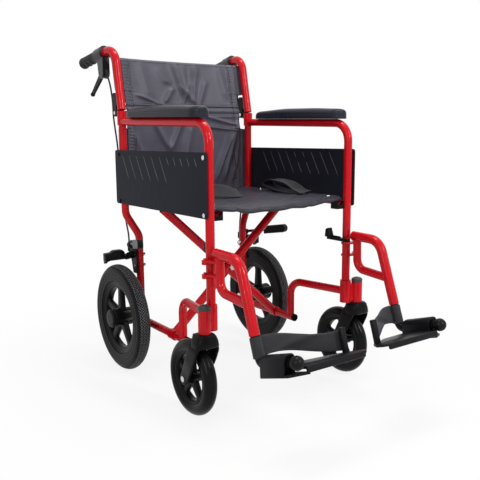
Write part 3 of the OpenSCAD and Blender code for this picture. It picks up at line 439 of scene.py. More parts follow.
def finish(name, colour, roughness, scale, microns, drift, gloss_drift, specular=0.5, **sockets):
    """A moulded or painted surface: its colour and roughness drift slowly, and a fine grain of the
    given scale and depth bumps it. The other sockets are the shader's own."""
    made, tree, shader, place = new_material(name)
    effect = add_node(tree, "Group", {"Vector": place["Object"], "Scale": scale}, node_tree=grain).outputs
    slow = effect["Drift"]
    tones = [np.minimum(np.array(colour) * share, 1) for share in (1 - drift, 1 + drift)]
    feed(tree, shader["Base Color"], tone_ramp(tree, slow, tones, (0.3, 0.7)))
    rough = math_node(tree, "MULTIPLY_ADD", slow, gloss_drift, roughness - gloss_drift / 2)
    feed(tree, shader["Roughness"], rough)
    bump = {"Strength": 1.0, "Distance": microns / 1e6, "Height": effect["Height"]}
    feed(tree, shader["Normal"], add_node(tree, "Bump", bump).outputs[0])
    shader["Specular IOR Level"].default_value = specular
    for label, value in sockets.items():
        shader[label.replace("_", " ")].default_value = value
    return made


# %% Moulded and painted finishes
# Each one: colour, roughness, grain scale, grain depth in microns, drift, gloss drift, specular level
clear_gloss = {"Coat_Weight": 0.14, "Coat_Roughness": 0.05}
red_paint = finish("red_powder_coat", (0.55, 0.004, 0.010), 0.24, 420, 20, 0.05, 0.05, 0.12, **clear_gloss)
plated_steel = finish("plated_steel", (0.62, 0.62, 0.63), 0.24, 600, 10, 0.08, 0.12, Metallic=1.0)
black_plastic = finish("black_moulding", (0.006, 0.006, 0.007), 0.34, 1500, 40, 0.2, 0.12, 0.07)
dark_gloss = finish("dark_grey_moulding", (0.020, 0.020, 0.023), 0.28, 900, 20, 0.15, 0.10, 0.3)
black_metal = finish("black_lacquer", (0.007, 0.007, 0.008), 0.32, 700, 30, 0.2, 0.10, 0.10)
# The caster caps are black plastic: this grey is painted highlight, for the light their upward domes catch
cap_painted_highlight = finish("cap_moulding_painted_highlight", (0.060, 0.060, 0.064), 0.40, 1300, 40, 0.12, 0.10, 0.2)
tyre_rubber = finish("tyre_rubber", (0.006, 0.006, 0.007), 0.40, 1100, 60, 0.25, 0.14, 0.08)
caster_rubber = finish("caster_rubber", (0.005, 0.005, 0.006), 0.24, 1100, 30, 0.25, 0.10, 0.10)
rim_plastic = finish("rim_moulding", (0.006, 0.006, 0.007), 0.34, 1300, 40, 0.2, 0.10, 0.08)
pad_skin = finish("arm_pad_skin", (0.024, 0.025, 0.036), 0.28, 1600, 50, 0.15, 0.10, 0.10)
panel_sheet = finish("panel_sheet", (0.017, 0.018, 0.026), 0.44, 1000, 60, 0.12, 0.08, 0.04)
# The pale greys of the panel's ridges are painted highlight, for the light the ridges catch; the second one
# is fainter
panel_line_highlight = finish("panel_line_highlight", (0.15, 0.15, 0.16), 0.5, 1000, 20, 0.1, 0.05, 0.2)
faint_line_highlight = finish("panel_line_dull", (0.030, 0.031, 0.040), 0.5, 1000, 20, 0.1, 0.05, 0.1)
grip_rubber = finish("grip_rubber", (0.013, 0.013, 0.015), 0.46, 1400, 60, 0.2, 0.10, 0.20)
cable_sheath = finish("cable_sheath", (0.020, 0.020, 0.022), 0.40, 1200, 20, 0.1, 0.06, 0.3)
plate_plastic = finish("footplate_moulding", (0.010, 0.010, 0.012), 0.36, 1300, 50, 0.15, 0.10, 0.08)
print("moulded and painted finishes:", len(bpy.data.materials))


# %% Tread finish
def add_tread(material, pitch, half_band, depth, glint_colour):
    """Puts crossed ridges over the grain: a bump that takes the first one's normal, with the ridge tops
    lightened as painted highlight for the glints of light on the tread.
    """
    tree = material.node_tree
    shader = tree.nodes["Principled BSDF"].inputs
    inputs = {"UV": tree.nodes["Texture Coordinate"].outputs["UV"], "Pitch": pitch, "Half Band": half_band}
    ridges = add_node(tree, "Group", inputs, node_tree=tread).outputs["Height"]
    grained, plain = (shader[label].links[0].from_socket for label in ("Normal", "Base Color"))
    bump = add_node(tree, "Bump", {"Distance": depth, "Height": ridges, "Normal": grained})
    feed(tree, shader["Normal"], bump.outputs[0])
    # Lighter colour on the ridge tops: painted highlight, for the glints of light on them
    tops = math_node(tree, "POWER", math_node(tree, "MAXIMUM", ridges, 0.0), 3.0)
    painted_glints = mixed_colour(tree, math_node(tree, "MULTIPLY", tops, 0.8), plain, glint_colour)
    feed(tree, shader["Base Color"], painted_glints)


# The lightened ridge tops are painted highlight, standing in for the glints on the tread's small ridges
add_tread(tyre_rubber, pitch=0.0082, half_band=0.0165, depth=0.0012, glint_colour=(0.16, 0.16, 0.17))

# %% [markdown]
# The cloth is a tight dark nylon that shines a little at a glancing angle, sewn with dashed rows of
# thread. Stitches could be small meshes, but at this size a mask on the cloth's own UV map does it.

# %% Cloth builder
def cloth_finish(name, colour, pitch, rows, roughness, depth, thread, sheen):
    """Woven cloth: threads from the UV map, drifting tone, painted shade in the gaps between threads, and
    dashed rows of stitches. rows lists (which UV coordinate is across, its place); a row across the first
    coordinate is mirrored."""
    made, tree, shader, place = new_material(name)
    colour = np.array(colour)
    shader["Roughness"].default_value = roughness
    shader["Specular IOR Level"].default_value = 0.34
    shader["Sheen Weight"].default_value = sheen
    shader["Sheen Roughness"].default_value = 0.45
    shader["Sheen Tint"].default_value = (0.75, 0.78, 0.88, 1)
    threads = add_node(tree, "Group", {"UV": place["UV"], "Pitch": pitch}, node_tree=weave).outputs
    tone = tone_ramp(tree, threads["Drift"], (colour * 0.72, colour * 1.22), (0.28, 0.72))
    # The gaps between threads are painted darker: painted shade in the weave
    gap_shade = math_node(tree, "MULTIPLY", threads["Gap"], 0.5)
    tone = mixed_colour(tree, gap_shade, tone, colour * 0.45)
    split = add_node(tree, "SeparateXYZ", {0: place["UV"]}).outputs
    mask = 0.0
    for across, at in rows:
        distance = split[1] if across else math_node(tree, "ABSOLUTE", split[0])
        inputs = {"Across": distance, "Along": split[1 - across], "Place": at}
        row = add_node(tree, "Group", inputs, node_tree=stitch).outputs["Mask"]
        mask = math_node(tree, "MAXIMUM", mask, row)
    feed(tree, shader["Base Color"], mixed_colour(tree, mask, tone, thread))
    sewn = math_node(tree, "SUBTRACT", threads["Height"], math_node(tree, "MULTIPLY", mask, 4.0))
    bump = add_node(tree, "Bump", {"Strength": 0.9, "Distance": depth, "Height": sewn})
    feed(tree, shader["Normal"], bump.outputs[0])
    return made


# %% Cloth finishes
# Each kind of cloth: roughness, depth of the weave, colour of the thread
nylon = (0.44, 0.00012, (0.012, 0.012, 0.014))
strap_weave = (0.7, 0.00025, (0.05, 0.05, 0.055))
back_rows = [(0, 0.172), (0, 0.178), (0, 0.198), (0, 0.203)]
upper_rows = back_rows + [(1, 0.767), (1, 0.774), (1, 0.895)]
lower_rows = back_rows + [(1, 0.742), (1, 0.748), (1, 0.505)]
seat_rows = [(0, 0.176), (1, -0.158), (1, 0.248)]
# All three are one nylon. The lower back's lighter tone is painted light, making up for the pads' shade on
# it, and the seat's much darker tone is painted shade, taking back the light that falls on its upward face.
upper_cloth = cloth_finish("back_cloth_upper", (0.066, 0.063, 0.087), 0.0011, upper_rows, *nylon, 0.22)
lower_cloth_painted_light = cloth_finish("back_cloth_lower", (0.076, 0.072, 0.101), 0.0011, lower_rows, *nylon, 0.22)
seat_nylon_painted_shade = cloth_finish("seat_cloth", (0.022, 0.021, 0.033), 0.0012, seat_rows, *nylon, 0.10)
webbing = cloth_finish("webbing", (0.020, 0.020, 0.023), 0.0021, [(1, 0.0030)], *strap_weave, 0.2)
print("finishes with cloth:", len(bpy.data.materials))

# %% [markdown]
# ## Finishes on the construction parts
# Tubes, brackets and bolts already have their true shape, so they only take their finish.

# %% Dress the construction parts
sides = {"left": 1.0, "right": -1.0}
red_nodes = ["arm_tube", "rear_post", "lower_frame", "back_cane", "legrest_hanger"]
plain = {"caster_axle": plated_steel, "side_panel": panel_sheet, "foot_tube": black_metal}
plain.update(dict.fromkeys(red_nodes, red_paint))
dressed = {name + "_" + side: look for name, look in plain.items() for side in sides}
dressed.update(brace_front=red_paint, brace_rear=red_paint, brace_bolt=plated_steel)
for name, look in dressed.items():
    mesh = nodes[name].data
    mesh.materials.clear()
    mesh.materials.append(look)
print("dressed parts:", len(dressed))

# %% [markdown]
# ## Sizes shared with the construction model
# These are the same numbers that the construction model uses, in metres. The two sides of the chair
# are mirror images, so a piece is worked out for the left side only.

# %% Shared sizes
axle_y, axle_z = 0.2625, 0.155
rear_y, front_y = 0.2775, -0.1785
post_half, seat_half, wheel_half = 0.221, 0.197, 0.250
seat_z, rail_r = 0.501, 0.010
seat_front, seat_back = front_y + 0.006, rear_y - 0.014
hinge_z, corner_z, lean_angle = 0.751, 0.928, np.radians(11)
lean = np.tan(lean_angle)
cane_corner = np.array([post_half, rear_y + lean * (corner_z - hinge_z), corner_z])
handle_end = cane_corner + np.array([0.015, 0.196, -0.028])


# %% Left and right
def mirrored(points, sign):
    """Left-hand points for the left side, or their mirror image for the right."""
    return np.asarray(points, float) * np.array([sign, 1.0, 1.0])


def on_side(name, shells, material, side):
    """Closed shells of the left side as one piece of the named side."""
    return joined(name + "_" + side, [(mirrored(p, sides[side]), f) for p, f in shells], material)


def belongs(piece, body, node=""):
    """Hides the node a piece replaces, if any, and attaches the piece to the body it moves with."""
    if node:
        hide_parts(node)
    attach(piece, body)


def moulded_pair(name, shells, material, body, node=""):
    """A piece from closed shells for each side; {} in body and node stands for the side's name."""
    for side in sides:
        belongs(on_side(name, shells, material, side), body.format(side), node.format(side))
    print(name, "shells:", len(shells))


# %% [markdown]
# ## Brake cables
# A sheathed steel cable runs from each brake housing, down behind the back tube, to the bracket of
# the wheel brake. A curve with a bevel would do, but a mesh tube can bend with the folding back. The
# sheath is stiff, so it follows one smooth curve through its clips. Its upper part turns with the
# back, and its lower part stays with the frame.

# %% Brake cables
cable_d, cable_count = 0.005, 12
# In mm, with y measured from the wheel's axle
cable_route = [
    [226, 94, 856], [226, 89, 846], [225, 83, 832], [224, 78, 815], [223, 75, 796], [222, 73, 776],
    [222, 72, 756], [222, 71, 736], [222, 67, 716], [222, 62, 696], [222, 56, 674], [222, 51, 652],
    [222, 48, 630], [222, 46, 606], [221, 45, 582], [221, 44, 558], [220, 43, 534], [219, 42, 510],
    [217, 42, 486], [214, 41, 462], [210, 40, 438], [206, 40, 414], [203, 39, 394], [202, 39, 378],
    [201.2, 39, 361.5],
]
cable_line = smooth_path(np.array(cable_route) / 1000 + [0, axle_y, 0], 6)
for side, sign in sides.items():
    line = mirrored(cable_line, sign)
    length = float(distances(line)[-1])
    shell = capped(tube_grid(line, cable_d / 2, cable_count))
    cable = joined("brake_cable_sheath_" + side, [shell], cable_sheath)
    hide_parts("brake_cable_" + side)
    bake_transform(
        cable,
        "back_cane_" + side,
        side + "_frame",
        start=tuple(mirrored((0.222, 0.335, 0.80), sign)),
        end=tuple(mirrored((0.222, 0.320, 0.67), sign)),
    )
print("brake cable length %.3f m" % length)

# %% [markdown]
# ## Seat
# The seat is one doubled sheet of nylon screwed to two rails. It sags between them, its front hem is
# rolled under, and the pull of the screws sends shallow creases into the cloth. A cloth simulation
# could hang it, but a stretched sheet has few, known folds. So the surface is worked out directly:
# across the chair it bends round each rail, and along it the front rolls down.

# %% Seat surface
# Each crease: from and to as (x, y), width, height
seat_creases = [
    ((0.03, -0.15), (-0.06, 0.02), 0.012, 0.0042),
    ((0.09, -0.165), (0.05, -0.06), 0.009, 0.0039),
    ((-0.14, -0.165), (-0.11, -0.08), 0.010, 0.0045),
    ((-0.17, -0.15), (-0.10, -0.13), 0.008, 0.0033),
    ((0.15, -0.16), (0.11, -0.10), 0.008, 0.0033),
    ((0.18, 0.10), (0.05, 0.02), 0.014, 0.0027),
    ((-0.18, 0.12), (-0.06, 0.05), 0.014, 0.0027),
    ((-0.02, 0.20), (0.08, 0.12), 0.016, 0.0024),
    ((0.17, -0.03), (0.08, -0.08), 0.010, 0.0030),
]
screw_x, screw_rows = 0.188, (0.166, 0.062, -0.037, -0.139)
wrap_r, roll_r, over_rail = 0.0142, 0.0080, 0.0042
sag, fold_high, dimple_deep = 0.014, 0.0022, 0.0014
rail_wrap, hem_wrap, seat_thick = 0.0150, 0.0175, 0.0026


def seat_top(x, y):
    """Top of the seat: the rail's top, less a parabola of sag, plus slanting folds that grow forwards,
    plus creases and a rippled front, less a dimple at each screw. The last three fade out over the rails."""
    s = 1 - (x / seat_half) ** 2
    f = np.clip((seat_back - y) / (seat_back - seat_front), 0, None)
    folds = fold_high * s * np.sin(np.radians(900 * x + 1500 * (y - seat_front))) * f**2
    inner = ease((seat_half - np.abs(x)) / 0.02)
    creases = sum(crease(x, y, *c) for c in seat_creases)
    screws = [(g * screw_x, row) for g in (-1, 1) for row in screw_rows]
    dimples = sum(bell(x - a, 0.016) * bell(y - b, 0.014) for a, b in screws)
    ripple = fold_high * np.sin(x * 47 + 0.6) * np.sin(x * 19)
    ripple = ripple * np.exp(-np.maximum(y - seat_front - roll_r, 0) / 0.05)
    return seat_z + rail_r + over_rail - sag * s + folds + inner * (creases - dimple_deep * dimples + ripple)


# %% Seat cloth
s = np.linspace(-seat_half - rail_wrap, seat_half + rail_wrap, 150)
rolled = np.linspace(-hem_wrap, 0, 14, endpoint=False)
q = np.concatenate([rolled, np.linspace(0, seat_back - seat_front - roll_r, 120)])
S, Q = np.meshgrid(s, q)
X = np.clip(S, -seat_half, seat_half)
Y = seat_front + roll_r + np.maximum(Q, 0)
angle = np.maximum(np.abs(S) - seat_half, 0) / wrap_r
under = np.maximum(-Q, 0) / roll_r
lumps = 1 + 0.22 * np.sin(X * 88 + 1.3) * np.sin(X * 31)
top = np.where(angle > 0, seat_z + wrap_r * np.cos(angle), seat_top(X, Y))
points = np.stack(
    [
        X + np.sign(S) * wrap_r * np.sin(angle),
        Y - roll_r * np.sin(under) * lumps,
        top - roll_r * (1 - np.cos(under)),
    ],
    -1,
)
seat = thickened(grid_piece("seat_cloth", points, seat_nylon_painted_shade, np.stack([S, Y], -1)), seat_thick)
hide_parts("seat_sling")
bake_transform(seat, "brace_rear", "brace_front", start=(-0.19, 0, 0.5), end=(0.19, 0, 0.5))
print("seat points:", points.shape)

# %% [markdown]
# Plated screws with broad heads hold the seat to its rails. Each head is a low dome, turned from a
# short profile, and all the heads of one rail are one mesh.

# %% Seat screws
head = [(0, -0.0022), (0.0062, -0.0022), (0.0062, 0.0006), (0.0036, 0.0019), (0, 0.0022)]
head = rounded(head, 0.0012, 4, False)
tops = [(screw_x, y, seat_top(screw_x, y) + 0.0006) for y in screw_rows]
shells = [turned_shell(head, top, z_axis, x_axis, 24, False) for top in tops]
for side, rail in (("left", "brace_front"), ("right", "brace_rear")):
    belongs(on_side("seat_screws", shells, plated_steel, side), rail)
print("screws per rail:", len(screw_rows))

# %% [markdown]
# ## Back
# The back hangs between the two back tubes as two sheets that meet at a stitched fold band, level
# with the hinges. Both bow backwards between the tubes. Side pockets are sewn with double rows, and
# deep creases run from the notches and the middle. As with the seat, the folds are few and known, so
# they are written down one by one as lines on the sheet.

# %% Back surface
back_columns, back_bow, pocket_edge = 300, 0.019, 0.229
full_half, notch_half = 0.227, 0.1985
cane_r, bend_z, bend_r = 0.012, 0.8861, 0.033
seam_places, hem_start, hem_end, back_thick = (0.175, 0.2005), 0.168, 0.196, 0.0024


def back_sheet(name, look, heights, rows, half_width, tube_back, creases, bands, crease_low):
    """A sheet over x and z: y is the tubes' back face, plus a parabolic bow, less creases, plus hem
    ridges and puckers. half_width(z) gives half the width at each height; tube_back(z) gives the y of
    the tubes' back face."""
    z = np.linspace(*heights, rows)
    Z = np.repeat(z[:, None], back_columns, 1)
    X = half_width(z)[:, None] * np.linspace(-1, 1, back_columns)
    out = np.abs(X)
    u, v = (X + post_half) / (2 * post_half), (Z - crease_low) / (heights[1] - crease_low)
    lift = sum(crease(u, v, *c) for c in creases)
    valleys = sum(bell(out - at, 0.0032) for at in seam_places)
    hem = 0.0030 * valleys - 0.0016 * (ease((out - hem_start) / 0.004) - 0.6 * ease((out - hem_end) / 0.005))
    hem = hem - sum(high * bell(Z - at, wide) for at, wide, high in bands)
    slack = 0.0005 * np.sin(Z * 690 + 3 * np.sin(X * 40)) * bell(out - 0.180, 0.014)
    Y = tube_back(Z) + back_bow * (1 - (X / pocket_edge) ** 2) - lift * ease((0.205 - out) / 0.03)
    Y = Y + (hem + slack) * ease((pocket_edge - out) / 0.02)
    return thickened(grid_piece(name, np.stack([X, Y, Z], -1), look, np.stack([X, Z], -1)), back_thick)


def step_half(z, at, below, over):
    """Half the width: one value below a height and another over it, within 3 mm."""
    return below + (over - below) * ease((z - at) / 0.003)


def cane_back(z):
    """Back face of the leaning tube: its straight run, then the start of its bend towards the handle."""
    rise = np.maximum(0, z - bend_z) / np.cos(lean_angle)
    bend = 1.3 * (bend_r - np.sqrt(bend_r**2 - rise**2))
    return rear_y + lean * (z - hinge_z) + cane_r / np.cos(lean_angle) + bend


# %% Upper back
# Each crease: from and to as shares of the width and height, width, height. Each band: z, width, height
upper_creases = [
    ((0.46, 0.97), (0.52, 0.30), 0.029, 0.0080),
    ((0.63, 0.90), (0.58, 0.10), 0.027, 0.0088),
    ((0.70, 0.60), (0.62, 0.08), 0.025, 0.0068),
    ((0.53, 0.93), (0.55, 0.22), 0.017, 0.0048),
    ((0.58, 0.60), (0.50, 0.12), 0.018, 0.0046),
    ((0.43, 0.45), (0.36, 0.16), 0.027, 0.0068),
    ((0.50, 0.50), (0.60, 0.14), 0.025, 0.0054),
    ((0.20, 0.90), (0.24, 0.25), 0.037, 0.0047),
    ((0.82, 0.95), (0.86, 0.30), 0.035, 0.0041),
    ((0.15, 0.30), (0.34, 0.10), 0.027, 0.0061),
    ((0.33, 0.85), (0.40, 0.55), 0.037, 0.0041),
]
upper = back_sheet(
    "back_cloth_upper",
    upper_cloth,
    heights=(0.7545, 0.903),
    rows=110,
    half_width=lambda z: step_half(z, 0.806, notch_half, full_half),
    tube_back=lambda z: cane_back(z) + 0.0021,
    creases=upper_creases,
    bands=[(0.899, 0.004, 0.0012), (0.7705, 0.0045, 0.0030), (0.759, 0.0040, 0.0022)],
    crease_low=0.7545,
)
belongs(upper, "back_cane_right", "back_sling_upper")
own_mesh(upper)
print("upper back creases:", len(upper_creases))

# %% Lower back
lower_creases = [
    ((0.93, 0.86), (0.80, 0.04), 0.022, 0.0160),
    ((0.88, 0.70), (0.74, 0.05), 0.020, 0.0140),
    ((0.97, 0.72), (0.88, 0.05), 0.018, 0.0100),
    ((0.26, 0.84), (0.37, 0.50), 0.026, 0.0064),
    ((0.49, 0.86), (0.39, 0.48), 0.024, 0.0064),
    ((0.56, 0.80), (0.50, 0.30), 0.030, 0.0061),
    ((0.10, 0.70), (0.22, 0.15), 0.026, 0.0068),
    ((0.68, 0.90), (0.92, 0.80), 0.022, 0.0061),
    ((0.66, 0.78), (0.94, 0.72), 0.020, 0.0068),
    ((0.36, 0.35), (0.60, 0.12), 0.040, 0.0054),
]
lower = back_sheet(
    "back_cloth_lower",
    lower_cloth_painted_light,
    heights=(0.496, 0.7606),
    rows=165,
    half_width=lambda z: step_half(z, 0.698, full_half, notch_half),
    tube_back=lambda z: rear_y + 0.0114,
    creases=lower_creases,
    bands=[(0.7545, 0.0045, 0.0022), (0.738, 0.0050, 0.0030), (0.501, 0.005, 0.0012)],
    crease_low=0.523,
)
belongs(lower, "right_frame", "back_sling_lower")
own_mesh(lower)
print("lower back creases:", len(lower_creases))


# %% [markdown]
# ## Webbing
# The lap belt's two halves lie over the seat, one flat and one in an open loop. A heel strap is a
# sleeve round each foot tube and a ribbon across to the footplate's tab. Webbing could be simulated
# as cloth, but it stays flat across its width. So each is a ribbon: a middle line and a direction
# across it at every step.

# %% Ribbons
def ribbon(name, middle, half, thickness, lift):
    """A flat strap: nine points across at each step, middle + t * half, moved along the strap's normal
    by lift(share along, t), with its UV in metres, then given a thickness. Also its length and area."""
    t = np.linspace(-1, 1, 9)
    normal = unit(np.cross(runs_of(middle), half))
    along = np.linspace(0, 1, len(middle))[:, None]
    points = middle[:, None] + t[None, :, None] * half[:, None]
    points = points + lift(along, t[None, :])[..., None] * normal[:, None]
    run = distances(middle)
    uv = np.stack([np.repeat(run[:, None], 9, 1), np.linalg.norm(half, axis=1)[:, None] * (t + 1)], -1)
    piece = thickened(grid_piece(name, points, webbing, uv), thickness, 0.0)
    corners = np.cross(np.diff(points, axis=0)[:, :-1], np.diff(points, axis=1)[:-1])
    return piece, float(run[-1]), float(np.linalg.norm(corners, axis=-1).sum())


# %% Lap belt
belt_w, belt_lift, belt_thick = 0.040, 0.0022, 0.0018
# Each row: share of half the seat's width, run forwards in mm, rise in mm, tilt in degrees
belt_rows = {
    "right": [[-0.934, 14, 0, 0], [-0.84, 50, 6, 15], [-0.66, 98, 15, 40], [-0.44, 138, 20, 62],
              [-0.2, 164, 21, 66], [0.04, 172, 17, 50], [0.23, 176, 10, 25]],
    "left": [[0.915, 300, 0.6, 0], [0.915, 280, 0.5, 0], [0.916, 240, 0.8, 0], [0.917, 200, 2.2, 0],
             [0.918, 165, 6.5, 0], [0.918, 142, 13, 0], [0.918, 133, 20, 0], [0.918, 140, 26.5, 0],
             [0.917, 165, 30, -2], [0.915, 200, 29.5, -4], [0.912, 238, 25, -4], [0.908, 268, 16, -2],
             [0.904, 291, 7.5, 0], [0.9, 315, 4.2, 0]],
}


def belt_wave(along, t):
    """A slow twist of the edges that fades out at both ends."""
    return 0.0022 * np.sin(9 * along + 1.4 * t) * t * ease(along * 8) * ease((1 - along) * 8)


for side, rows in belt_rows.items():
    share, forward, rise, tilt = smooth_path(rows, 10).T
    x, y = share * seat_half, rear_y - 0.023 - forward / 1000
    flat_run = np.gradient(np.stack([x, -y], -1), axis=0)
    if side == "left":
        flat_run = np.tile([0.0, 1.0], (len(x), 1))
    across = unit(np.stack([flat_run[:, 1], flat_run[:, 0], 0 * x], -1)) * belt_w / 2
    across = across * np.cos(np.radians(tilt))[:, None]
    stand = belt_w / 2 * np.sin(np.radians(tilt))
    edges = [np.stack([x, y, 0 * x], -1) + g * across for g in (-1, 1)]
    for g, edge in zip((-1, 1), edges):
        inside = np.clip(edge[:, 0], -seat_half, seat_half)
        edge[:, 2] = seat_top(inside, edge[:, 1]) + belt_lift + rise / 1000 + stand * g
    middle, half = (edges[0] + edges[1]) / 2, (edges[1] - edges[0]) / 2
    belt, length, _ = ribbon("belt_webbing_" + side, middle, half, belt_thick, belt_wave)
    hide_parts("lap_belt_" + side)
    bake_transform(belt, "brace_rear", "brace_front", start=(-0.19, 0, 0.5), end=(0.19, 0, 0.5))
    print("belt", side, "length %.3f m" % length)

# %% Heel straps
strap_h, strap_thick = 0.046, 0.0022
hanger_low, hanger_down = np.array([0.222, -0.3535, 0.249]), np.array([0, -0.33597, -0.94188])
toe, plate_up = np.array([0, -0.95106, 0.30902]), np.array([0, 0.30902, 0.95106])
plate_origin = np.array([0.222, -0.3918, 0.1952])
sleeve_top = hanger_low + 0.003 * hanger_down
strap_tab = plate_origin - [0.172, 0, 0] + 0.0584 * toe + 0.017 * plate_up
strap_start = sleeve_top + hanger_down * strap_h / 2 + [-0.012, 0.006, 0]
t = np.linspace(0, 1, 60)[:, None]
one_wave, two_waves = np.sin(np.pi * t), np.sin(2 * np.pi * t)
strap_sag = np.hstack([0 * t, 0.009 * one_wave + 0.004 * two_waves, 0.003 * two_waves])
strap_middle = strap_start + (strap_tab - strap_start) * t + strap_sag
strap_half = unit(plate_up * t - hanger_down * (1 - t)) * strap_h / 2 * (1 - 0.18 * one_wave)
sleeve_wall = [(0.01085, 0), (0.0131, 0), (0.0131, strap_h), (0.01085, strap_h)]
sleeve_shell = turned_shell(rounded(sleeve_wall, 0.0011, 4), sleeve_top, hanger_down, x_axis, 48)


def strap_fold(along, t):
    """A slanting fold across the strap, less a hollow that deepens towards the edges."""
    return 0.0035 * bell(along - 0.45 - 0.22 * t, 0.10) - 0.0015 * np.sin(np.pi * along) * t**2


for side, sign in sides.items():
    sleeve = on_side("strap_sleeve", [sleeve_shell], webbing, side)
    belongs(sleeve, "foot_" + side)
    middle, half = mirrored(strap_middle, sign), mirrored(strap_half, sign)
    strap, length, area = ribbon("heel_webbing_" + side, middle, half, strap_thick, strap_fold)
    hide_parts("heel_strap_" + side)
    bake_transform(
        strap,
        "foot_" + side,
        "footplate_" + side,
        start=tuple(mirrored(strap_start, sign)),
        end=tuple(mirrored(strap_tab, sign)),
    )
print("heel strap length %.3f m" % length)

# %% [markdown]
# ## Arm pads
# Each pad is one piece of moulded foam with its own skin: flat below, nearly upright at the sides,
# domed on top and falling away at both ends. A pressed cushion would be simulated, but this foam is
# firm and keeps its mould's form. Its section is an upright band, a fine groove where the two halves
# of the mould met, and a dome over it. Its height and width change along the pad.

# %% Arm pads
pad_l, pad_w, pad_t, pad_inset, stations = 0.378, 0.050, 0.030, 0.058, 90
slope = np.arctan(12 / 456)
pad_run = np.array([0, -np.cos(slope), -np.sin(slope)])
pad_up = np.array([0, -np.sin(slope), np.cos(slope)])
pad_start = np.array([post_half, rear_y - pad_inset, 0.720 - pad_inset * np.tan(slope)]) + pad_up * 0.0114
at = pad_l * (0.5 - 0.5 * np.cos(np.linspace(0, np.pi, stations)))
to_front = pad_l - at
rear_drop, front_drop = 1 - quarter(at / 0.034), 1 - quarter(to_front / 0.030)
pad_half = pad_w / 2 - 0.019 * rear_drop - 0.020 * front_drop
pad_high = pad_t - 0.007 * (1 - ease(at / 0.16)) - 0.008 * rear_drop
pad_high = pad_high - 0.003 * (1 - ease(to_front / 0.12)) - 0.007 * (1 - quarter(to_front / 0.022))
band = [(0, 0), (0.5, 0), (0.9, 0), (0.97, 0.02), (0.995, 0.07), (1, 0.14), (1, 0.34)]
groove = [(0.995, 0.40), (0.965, 0.43), (0.985, 0.46)]
rise = np.radians(np.linspace(4, 90, 16))
dome = np.column_stack([0.99 * np.cos(rise) ** 0.72, 0.47 + 0.53 * np.sin(rise)])
half_section = np.vstack([band, groove, dome])
section = np.vstack([half_section, half_section[-2:0:-1] * [-1, 1]])
# Three more rows at each end draw the section in to a point
row = np.concatenate([[0] * 3, np.arange(stations), [stations - 1] * 3])
shrink = np.concatenate([[0, 0.55, 0.9], np.ones(stations), [0.9, 0.55, 0]])[:, None]
high = pad_high[row][:, None]
side_way = (pad_half[row][:, None] * section[:, 0] * shrink)[..., None] * x_axis
up_way = (0.45 * high + (high * section[:, 1] - 0.45 * high) * shrink)[..., None] * pad_up
pad_grid = pad_start + at[row][:, None, None] * pad_run + side_way + up_way
pad_shell = (pad_grid, grid_quads(*pad_grid.shape[:2], wrap_columns=True))
for side in sides:
    pad = on_side("arm_pad_foam", [pad_shell], pad_skin, side)
    belongs(pad, side + "_frame", "arm_pad_" + side)
print("arm pad %.0f x %.0f x %.0f mm" % (pad_l * 1000, pad_w * 1000, pad_t * 1000))

# %% [markdown]
# ## Tyres
# The rear tyre is a solid rubber ring with three grooves and crossed ridges on its crown, small
# blocks on the shoulders and raised rings on the walls. The tread could be cut block by block. It is
# simpler to let all of it follow from two angles: one round the wheel, one round the tyre's own
# section. The caster's tyre has the same form with a plain crown.

# %% Tyre surface
groove_deep, block_deep, wall_deep = 0.0015, 0.0012, 0.0009


def tyre_piece(name, sign, material, centre, crown_r, tube_r, seat_r, draw_in, turns, blocks, grooves):
    """Crown: radius = ring + tube * cos(phi) less the tread, along = tube * sin(phi), for phi within a
    right angle. Walls: straight from there to the seat, drawn in a little, with two rings cut into
    each. Each groove is cut at its own phi; blocks are cut where a square wave round the wheel is low."""
    ring_r = crown_r - tube_r
    fine = [g + np.array([-4.6, -3.4, -2.4, 0, 2.4, 3.4, 4.6]) for g in grooves]
    shoulder_rows = [g * np.array([38.5, 40.5, 50, 61.5, 63.5]) for g in (-1, 1)]
    phi = np.unique(np.round(np.concatenate([np.linspace(-88, 88, 37), *fine, *shoulder_rows]), 2))
    depth = sum(groove_deep * (1 - ease((np.abs(phi - g) - 2.4) / 1.4)) for g in grooves) + 0 * phi
    shoulder = ease((np.abs(phi) - 38.5) / 2) * ease((63.5 - np.abs(phi)) / 2)
    share = np.linspace(0, 1, 33)
    rings = wall_deep * sum(bell(share - c, 0.035) for c in (0.22, 0.62))
    wall = np.stack([ring_r + (seat_r - ring_r) * share, tube_r - draw_in * share**2 - rings], -1)
    bead = wall[-1] - [0, 0.0025]
    crown = np.stack([ring_r + tube_r * np.cos(np.radians(phi)), tube_r * np.sin(np.radians(phi))], -1)
    profile = np.vstack([bead * [1, -1], wall[::-1] * [1, -1], crown, wall, bead])
    flat = np.zeros(len(wall) + 1)
    side_of, depth, shoulder = (np.concatenate([flat, v, flat]) for v in (np.sign(phi), depth, shoulder))

    def cut(angle, row):
        """The groove's depth, and the block's where the wave is low."""
        low = 0.5 - 0.5 * np.tanh(6 * np.sin(blocks * angle + 0.4 * side_of[row]))
        return depth[row] + block_deep * shoulder[row] * low

    grid = lathe_grid(profile, centre, x_axis, z_axis, turns, cut if blocks else None)
    u, v = np.linspace(0, 2 * np.pi * crown_r, turns + 1), distances(profile)
    uv = np.stack(np.meshgrid(u, v - v[-1] / 2), -1)
    return outward(grid_piece(name, mirrored(grid, sign), material, uv, wrap_rows=True))


